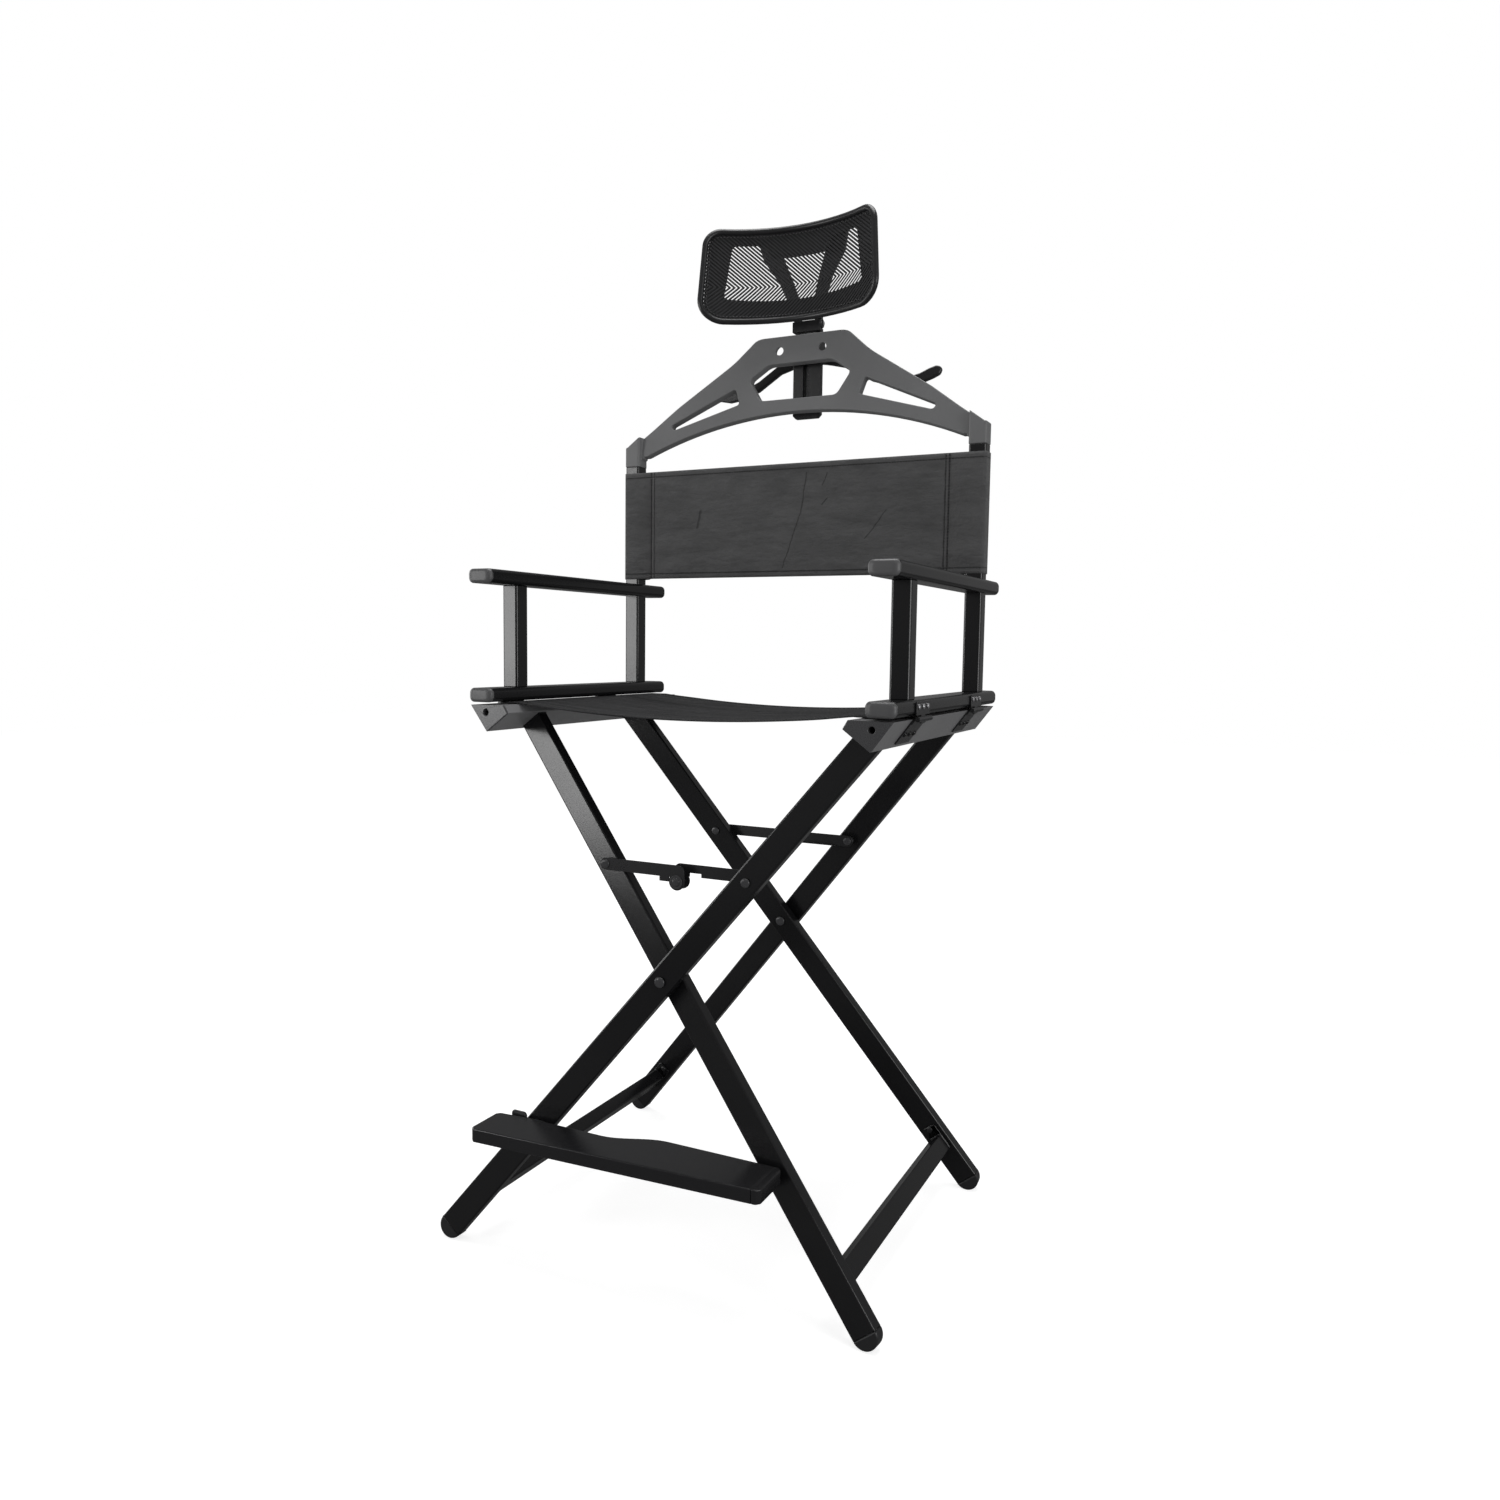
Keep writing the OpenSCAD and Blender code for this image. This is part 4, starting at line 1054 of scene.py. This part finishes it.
@dataclass
class BackCanvas:
    """The canvas back, with sleeves over the two back posts."""

    post_x: float = 281.0
    post_y: float = 165.0
    sleeve: float = 28.4
    corner: float = 5.5
    seam_x: float = 243.0
    low: float = 907.0
    high: float = 1075.0
    thickness: float = 1.3
    hem: float = 8.0
    sewn_to: float = 290.0
    rows: int = 44
    seam_step: float = 4.0
    turn_back: float = 18.0
    lap: float = 3.0
    pull: float = 0.5
    pull_reach: float = 26.0
    belly: float = 1.4
    folded: float = 0.07

    def section(self) -> list[Pair]:
        """The canvas from above: right seam, round the right post, across, round the left post."""
        half = self.sleeve / 2 - self.thickness / 2
        front, rear, r = self.post_y - half, self.post_y + half, self.corner
        slope, flat = rear - front - self.lap, 2 * half - 5 - r
        turned, lapped = self.seam_x + self.seam_step, front + self.lap
        line = [(self.seam_x, front + 1.6), (turned, lapped)]
        line += [(turned + self.turn_back * t, lapped + slope * t) for t in (0.33, 0.66)]
        line += [(self.post_x - half + 5 + flat * t, rear) for t in (0.0, 0.5, 1.0)]
        cx = self.post_x + half - r
        for start, cy in ((90, rear - r), (0, front + r)):
            turns = [math.radians(start - 15 * i) for i in range(1, 7)]
            line += [(cx + r * math.cos(turn), cy + r * math.sin(turn)) for turn in turns]
        line += [(cx - 4, front)] + [(self.seam_x * (1 - i / 24), front) for i in range(24)]
        return line + [(0.0, front)] + [(-x, y) for x, y in reversed(line)]

    def surface_y(self, x: float, y: float, z: float) -> float:
        """Depth of the cloth, with faint level draws between the seams."""
        if abs(x) > self.seam_x - 1 or y > self.post_y - 8:
            return y
        up = (z - self.low) / (self.high - self.low)
        near = math.exp(-((self.seam_x - abs(x)) / self.pull_reach))
        pull = self.pull * near * math.sin(up * 34.0 + (2.0 if x > 0 else 0.0))
        belly = self.belly * (1 - (x / self.seam_x) ** 2) * math.sin(math.pi * up)
        return y + pull + belly

    def build(self, shop: Workshop) -> None:
        """Makes the middle of the canvas, its two sleeves and their stitches."""
        outline = self.section()
        along = [0.0]
        for (x1, y1), (x2, y2) in zip(outline, outline[1:]):
            along.append(along[-1] + math.hypot(x2 - x1, y2 - y1))
        front, end = min(y for _, y in outline), len(outline) - 1
        first = next(i for i, (x, y) in enumerate(outline) if x <= self.seam_x and y == front)
        last = end - first
        for side, low, high in (
            (Side.RIGHT, 0, first), (None, first, last), (Side.LEFT, last, end)
        ):
            name = f"back_sleeve_{side.name.lower()}" if side else "back_cloth"
            cloth = self._cloth(name, outline[low:high + 1], along[low:high + 1])
            shop.finish(cloth, self._body(side), Finish.CANVAS)
            if side is not Side.RIGHT:
                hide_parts("back_canvas")
            if not side:
                self._squash(cloth)
        for side in (None, Side.LEFT, Side.RIGHT):
            self._stitches(shop, side)

    @staticmethod
    def _body(side: Optional[Side]) -> str:
        """The body that the middle or a sleeve rides on."""
        return "right_side" if side is Side.RIGHT else "left_side"

    def _cloth(self, name: str, outline: Sequence[Pair], along: Sequence[float]) -> Object:
        """One thick stretch of the canvas, from its line seen from above and each point's run."""
        points, uvs = [], []
        for j in range(self.rows + 1):
            z = self.low + (self.high - self.low) * j / self.rows
            points += [place(x, self.surface_y(x, y, z), z) for x, y in outline]
            uvs += [(s * MM, z * MM) for s in along]
        cloth = new_piece(name, points, grid_faces(self.rows + 1, len(outline)), uvs)
        shade(cloth, 60.0)
        thicken(cloth, self.thickness)
        return settle(cloth)

    def _stitches(self, shop: Workshop, side: Optional[Side]) -> None:
        """Sews the seams and the two hems of the middle, or of one sleeve."""
        front, sign = self.post_y - self.sleeve / 2, side.value if side else 1
        inner, outer = (self.seam_x, self.sewn_to) if side else (-self.seam_x, self.seam_x)
        upright = [sign * self.seam_x] if side else [5 - self.seam_x, self.seam_x - 5]
        zs = [self.low + 3 + (self.high - self.low - 6) * i / 40 for i in range(41)]
        xs = [sign * (inner + (outer - inner) * i / 76) for i in range(77)]
        lines = [[place(x, self.surface_y(x * 0.999, front, z), z) for z in zs] for x in upright]
        for z in (self.low + self.hem, self.high - self.hem):
            lines.append([place(x, self.surface_y(x, front, z), z) for x in xs])
        name = f"back_stitches_{side.name.lower()}" if side else "back_stitches"
        thread = shop.stitch(name, lines, self._body(side))
        if not side:
            self._squash(thread)

    def _squash(self, piece: Object) -> None:
        """Gives a piece its own copy of its mesh."""
        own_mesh(piece)


@dataclass
class HeadPlate:
    """The grey head plate with its plug, the stem's holder and the coat hanger."""

    edge: float = 1.4
    ring_margin: float = 0.6
    arm_edge: float = 2.4
    hole_x: float = 35.0
    hole_z: float = 1248.0
    hole_r: float = 5.5
    rear_ream: float = 0.9
    front_ream: float = 0.03
    holder_half: float = 24.4

    def build(self, shop: Workshop) -> None:
        """Dresses the four pieces."""
        shop.soften(["head_plate"], Finish.PLATE, self.edge, 4, self._ream)
        shop.soften(["plate_plug"], Finish.CAP, 0.8)
        shop.soften(["stem_holder"], Finish.PLASTIC, 0.4, 2, self._narrow)
        shop.soften(["coat_hanger"], Finish.PLASTIC, self.arm_edge, 4)

    def _ream(self, work: bmesh.types.BMesh) -> None:
        """Widens the two holes towards the plate's hollow rear."""
        for x in (-self.hole_x, self.hole_x):
            middle = place(x, 0, self.hole_z)
            around = {v: Vector((v.co.x - middle.x, 0, v.co.z - middle.z)) for v in work.verts}
            reach = (self.hole_r + self.ring_margin) * MM
            ring = [v for v in work.verts if around[v].length < reach]
            half = sum(v.co.y for v in ring) / len(ring)
            for v in ring:
                v.co += around[v] * (self.rear_ream if v.co.y > half else self.front_ream)

    def _narrow(self, work: bmesh.types.BMesh) -> None:
        """Thins the holder's side walls."""
        half = self.holder_half * MM
        for v in work.verts:
            v.co.x = max(-half, min(half, v.co.x))


@dataclass
class Headrest:
    """The headrest: bowed rim, moulded border, net, yoke and the stem under it."""

    width: float = 290.0
    height: float = 136.0
    corner: float = 35.0
    top_corner: float = 25.0
    crown: float = 1.045
    taper: float = 0.0005
    mid_z: float = 1353.0
    mid_y: float = 165.0
    bow: float = 226.0
    rim: float = 9.0
    border: float = 24.0
    border_depth: float = 2.2
    border_rows: int = 5
    net_rows: int = 30
    net_core: float = 0.985
    sewn: Point = (5.0, 3.2, 1.0)
    sill: float = 26.0
    arm_edge: float = 54.0
    arm_blend: float = 10.0
    low_bow: float = 5.0
    window_rise: float = 1.28
    window_taper: float = 0.0009
    stem_y: float = 207.0
    tilt_z: float = 1290.0
    yoke_top_y: float = 180.0
    ear_x: float = 17.2
    ear_half: float = 5.7
    yoke_half: float = 3.5
    neck_half: float = 3.4
    pin_half: float = 25.0
    cover_half: float = 22.5
    arm_x: float = 55.0
    arm_up: float = 60.0

    def bowed(self, x: float, up: float, depth: float = 0.0) -> Vector:
        """A point on the headrest's bow, across and up from its middle, depth to the back."""
        y = self.mid_y - self.bow + math.sqrt(max(1.0, (self.bow + depth) ** 2 - x * x))
        return place(x, y, self.mid_z + up)

    def ring(self, inset: float, straight: int = 14) -> list[Pair]:
        """The headrest's outline, drawn in by an inset, with points along its straight sides."""
        wide, tall = self.width - 2 * inset, self.height - 2 * inset
        low, high = (
            rounded_loop(wide, tall, max(6.0, corner - inset), 10, straight)
            for corner in (self.corner, self.top_corner)
        )
        loop = [(p[0], p[1] * self.crown) if p[1] > 0 else q for p, q in zip(high, low)]
        return [(a * (1 - self.taper * max(0.0, b + 50)), b) for a, b in loop]

    def build(self, shop: Workshop) -> None:
        """Makes the headrest and dresses the stem."""
        path = [self.bowed(a, b) for a, b in self.ring(self.rim / 2)]
        middle = sum(path, Vector()) / len(path)
        section = oval(self.rim, self.rim, 14, 2.2)
        tube = sweep("headrest_rim", path, section, lambda at: at - middle, True, 70.0)
        shop.finish(tube, "headrest", Finish.PLASTIC, ["headrest_frame"])
        self._band(shop)
        self._net(shop)
        self._yoke(shop)
        self._pivot(shop)
        shop.soften(["headrest_stem"], Finish.PLASTIC, 0.7)

    def window_edge(self, a: float, b: float) -> Pair:
        """Moves a point of the border's inner edge: up above, down again between the arms."""
        if b > 0:
            b *= self.window_rise
        a *= 1 - self.window_taper * max(0.0, b + 30)
        if b > self.sill:
            step = min(1.0, max(0.0, (self.arm_edge - abs(a)) / self.arm_blend))
            b -= (b - self.sill) * step * step * (3 - 2 * step)
        if b < -25:
            b += self.low_bow * (a / 112) ** 2
        return a, b

    def _band(self, shop: Workshop) -> None:
        """The moulded border behind the net, and the stitches beside the rim."""
        outer = self.ring(self.rim - 1.5, straight=44)
        inner = [self.window_edge(a, b) for a, b in self.ring(self.rim + self.border, straight=44)]
        points, rows = [], self.border_rows
        for t in [r / (rows - 1) for r in range(rows)]:
            points += [
                self.bowed(a1 + (a2 - a1) * t, b1 + (b2 - b1) * t, self.border_depth)
                for (a1, b1), (a2, b2) in zip(outer, inner)
            ]
        faces = grid_faces(rows, len(outer), wrap=True)
        band = solid("headrest_border", points, faces, 40.0)
        thicken(band, 2.2)
        round_edges(band, 0.6, 2)
        settle(band)
        shop.finish(band, "headrest", Finish.NET_BACK)
        loop = self.ring(self.rim + 2.6)
        line = [self.bowed(a, b, -0.5) for a, b in loop + loop[:1]]
        shop.stitch("headrest_stitches", [line], "headrest", Finish.CAP, self.sewn)

    def _net(self, shop: Workshop) -> None:
        """The net over the whole front."""
        inset, rows = self.rim / 2 + 1, self.net_rows
        loop = self.ring(inset)
        points, uvs = [], []
        for keep in [1 - j / (rows - 1) * self.net_core for j in range(rows)]:
            points += [self.bowed(a * keep, b * keep) for a, b in loop]
            uvs += [(a * keep * MM, b * keep * MM) for a, b in loop]
        middle = tuple(range((rows - 1) * len(loop), rows * len(loop)))
        faces = grid_faces(rows, len(loop), wrap=True) + [middle]
        net = new_piece("headrest_net", points, faces, uvs)
        shade(net, 80.0)
        shop.finish(net, "headrest", Finish.MESH, ["headrest_mesh"])

    def _yoke(self, shop: Workshop) -> None:
        """The forked yoke from the tilt pin up to the rim, with its ears, necks and pads."""
        rise = self.mid_z + self.height / 2 - self.rim - self.tilt_z
        lean = math.atan((self.stem_y - self.yoke_top_y) / rise)
        up = rise / math.cos(lean) + 6
        right = [(23, 7.5), (24, 16), (28, 28), (43, 64), (66, 98), (74, up), (42, up), (34, 98)]
        right += [(21, 64), (10.5, 30), (9, 26)]
        outline = right + [(-a, b) for a, b in reversed(right)]

        def lean_back(a: float, b: float, depth: float) -> Vector:
            """Puts a point of the yoke's plane into the frame."""
            y = self.stem_y + depth * math.cos(lean) - b * math.sin(lean)
            return place(a, y, self.tilt_z + depth * math.sin(lean) + b * math.cos(lean))

        yoke = slab("headrest_yoke", outline, -self.yoke_half, self.yoke_half, lean_back)
        round_edges(yoke, 1.6)
        shade(yoke, 30.0)
        shop.finish(yoke, "headrest", Finish.PLASTIC)
        for side in Side:
            name, x = side.name.lower(), side.value * self.ear_x
            low, high = x - self.ear_half, x + self.ear_half
            neck = [(low, 0), (high, 0), (high, 13), (low, 13)]
            arm = side.value * self.arm_x
            for part in (
                self._rod(f"yoke_ear_{name}", low, high, 14, 24),
                slab(f"yoke_neck_{name}", neck, -self.neck_half, self.neck_half, lean_back),
                slab(
                    f"yoke_pad_{name}", rounded_loop(34, 8, 2.5, 4, 1), 0, 1,
                    lambda a, b, d: self.bowed(arm + a, self.arm_up + b, 1 + d * 21),
                ),
            ):
                round_edges(part, 0.8)
                shop.finish(part, "headrest", Finish.PLASTIC)

    def _rod(self, name: str, low: float, high: float, size: float, sides: int) -> Object:
        """A round rod about the tilt axis, from one x to another, in millimetres."""
        ends = [place(x, self.stem_y, self.tilt_z) for x in (low, high)]
        return sweep(name, ends, oval(size, size, sides, 2.0), lambda _: Vector((0, 1, 0)))

    def _pivot(self, shop: Workshop) -> None:
        """The stem's front cover and the tilt pin."""
        front, rear = self.stem_y - 10.7, self.stem_y + 4.0
        lip, low, step, high = front + 3.3, 1278.2, 1282.6, 1293.5
        profile = [
            (front, low), (rear, low), (rear, step), (lip, step), (lip, high), (front, high)
        ]
        wide = self.cover_half
        cover = slab("stem_cover", profile, -wide, wide, lambda a, b, d: place(d, a, b))
        round_edges(cover, 0.5, 2)
        shop.finish(cover, "stem", Finish.PLASTIC)
        pin = self._rod("tilt_pin", -self.pin_half, self.pin_half, 6, 20)
        shop.finish(pin, "headrest", Finish.STEEL)


@dataclass
class Studio:
    """The floor, the lamps, the world and the camera."""

    eye: Point = (699.6, -1411.5, 799.6)
    azimuth: float = 0.454
    elevation: float = 0.0884
    roll: float = 0.01307
    focal_pixels: float = 1122.6
    image: float = 1500.0
    centre: tuple = (750.1, 746.9)
    sensor: float = 36.0
    floor_half: float = 9.0
    floor_tones: Pair = (0.46, 0.12)
    floor_glow: Pair = (0.78, 0.07)
    glow_from: float = 1.1
    soft_light: float = 0.34
    mirrored_light: float = 0.19

    def camera(self) -> None:
        """Puts the camera where the photograph was taken from."""
        data = bpy.data.cameras.new("studio_camera")
        camera = add_object("studio_camera", data)
        a, e = self.azimuth, self.elevation
        back = Vector((math.sin(a) * math.cos(e), -math.cos(a) * math.cos(e), math.sin(e)))
        level = Vector((0, 0, 1)).cross(back).normalized()
        upright = back.cross(level)
        c, s = math.cos(self.roll), math.sin(self.roll)
        right, up = level * c + upright * s, upright * c - level * s
        turn = Matrix((right, up, back)).transposed().to_4x4()
        camera.matrix_world = Matrix.Translation(place(*self.eye)) @ turn
        data.sensor_width = self.sensor
        data.lens = self.focal_pixels / self.image * self.sensor
        data.shift_x = (self.image / 2 - self.centre[0]) / self.image
        data.shift_y = (self.centre[1] - self.image / 2) / self.image
        data.clip_start, data.clip_end = 0.05, 60.0
        bpy.context.scene.camera = camera

    def floor(self) -> None:
        """Lays a pale floor that shows white to the camera and keeps the shadow."""
        half = self.floor_half
        corners = ((-half, -half), (half, -half), (half, half), (-half, half))
        made = new_piece("studio_floor", [Vector((x, y, 0.0)) for x, y in corners], [range(4)])
        kit = NodeKit("pale_floor")
        cloud = kit.noise(kit.position(), scale=1.5)
        path = kit.node("ShaderNodeLightPath")
        mirrored = kit.out(path, "Is Glossy Ray")
        plain, dimmed = ((tone, tone, tone) for tone in self.floor_tones)
        tone = kit.colour(mirrored * 0.96 + cloud * 0.04, plain, dimmed)
        shader = kit.node(
            "ShaderNodeBsdfPrincipled", inputs={"Roughness": 0.9, "Base Color": tone}
        )
        x, y, _ = kit.parts(kit.position())
        away = kit.held((x ** 2 + y ** 2) ** 0.5 - self.glow_from)
        near, more = self.floor_glow
        glow = kit.node("ShaderNodeEmission", inputs={"Strength": away * more + near})
        none = kit.node("ShaderNodeEmission", inputs={"Strength": 0.0})
        seen = kit.out(path, "Is Camera Ray")
        choice = kit.node(
            "ShaderNodeMixShader", inputs={0: seen, 1: kit.out(none), 2: kit.out(glow)}
        )
        both = kit.node("ShaderNodeAddShader", inputs={0: kit.out(shader), 1: kit.out(choice)})
        kit.node("ShaderNodeOutputMaterial", inputs={"Surface": kit.out(both)})
        made.data.materials.append(kit.material)

    def world(self) -> None:
        """Lights everything softly: white to the camera, and dimmer where it is mirrored."""
        world = bpy.data.worlds.new("studio_world")
        bpy.context.scene.world = world
        world.use_nodes = True
        tree = world.node_tree
        tree.nodes.clear()
        add = tree.nodes.new
        path, both, end = (
            add(f"ShaderNode{kind}") for kind in ("LightPath", "Math", "OutputWorld")
        )
        both.operation = "MAXIMUM"
        choice, lit = add("ShaderNodeMixShader"), add("ShaderNodeMixShader")
        soft, white, dim = (add("ShaderNodeBackground") for _ in range(3))
        lights = ((soft, self.soft_light), (white, 1.0), (dim, self.mirrored_light))
        for shader, strength in lights:
            shader.inputs["Strength"].default_value = strength
            shader.inputs["Color"].default_value = (1.0, 1.0, 1.0, 1.0)
        for source, output, target, key in (
            (path, "Is Glossy Ray", lit, 0), (soft, 0, lit, 1), (dim, 0, lit, 2),
            (path, "Is Camera Ray", both, 0), (path, "Is Transmission Ray", both, 1),
            (both, 0, choice, 0), (lit, 0, choice, 1), (white, 0, choice, 2),
            (choice, 0, end, "Surface"),
        ):
            tree.links.new(source.outputs[output], target.inputs[key])

    def lamp(self, name: str, at: Point, aim: Point, size: Pair, power: float) -> None:
        """Hangs one soft lamp, aimed at a point, with its size in metres and power in watts."""
        data = bpy.data.lights.new(name, "AREA")
        data.shape = "RECTANGLE"
        data.size, data.size_y = size
        data.energy = power
        lamp = add_object(name, data)
        lamp.location = at
        lamp.rotation_mode = "QUATERNION"
        lamp.rotation_quaternion = (Vector(aim) - Vector(at)).to_track_quat("-Z", "Y")

    def build(self) -> None:
        """Builds the studio."""
        self.camera()
        self.floor()
        self.world()
        for lamp in (
            ("front_left_panel", (-1.95, -2.1, 1.05), (-1.95, 0, 1.05), (1.1, 1.15), 27.0),
            ("left_panel", (-3.0, 0.3, 1.0), (0, 0.3, 0.9), (2.4, 1.8), 30.0),
            ("top_panel", (0.1, 0.2, 3.3), (0.1, 0.2, 0), (1.8, 1.8), 55.0),
            ("right_panel", (2.9, -0.9, 1.05), (0, 0, 0.9), (2.0, 1.5), 34.0),
        ):
            self.lamp(*lamp)
        bpy.context.scene.view_settings.view_transform = "Standard"


def write_sizes() -> None:
    """Updates the view layer."""
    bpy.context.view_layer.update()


def main() -> None:
    """Builds the chair and its studio in order."""
    logging.basicConfig(level=logging.INFO, format="%(message)s")
    finishes, runs = FinishBook(), RunTree("stitch_run")
    finishes.build()
    runs.build()
    shop = Workshop(finishes, runs)
    for part in (
        Sides(), Frames(), Braces(), Footrest(), SeatCanvas(), BackCanvas(), HeadPlate(), Headrest()
    ):
        part.build(shop)
        LOG.info("dressed %s", type(part).__name__)
    Studio().build()
    write_sizes()


if __name__ == "__main__":
    main()
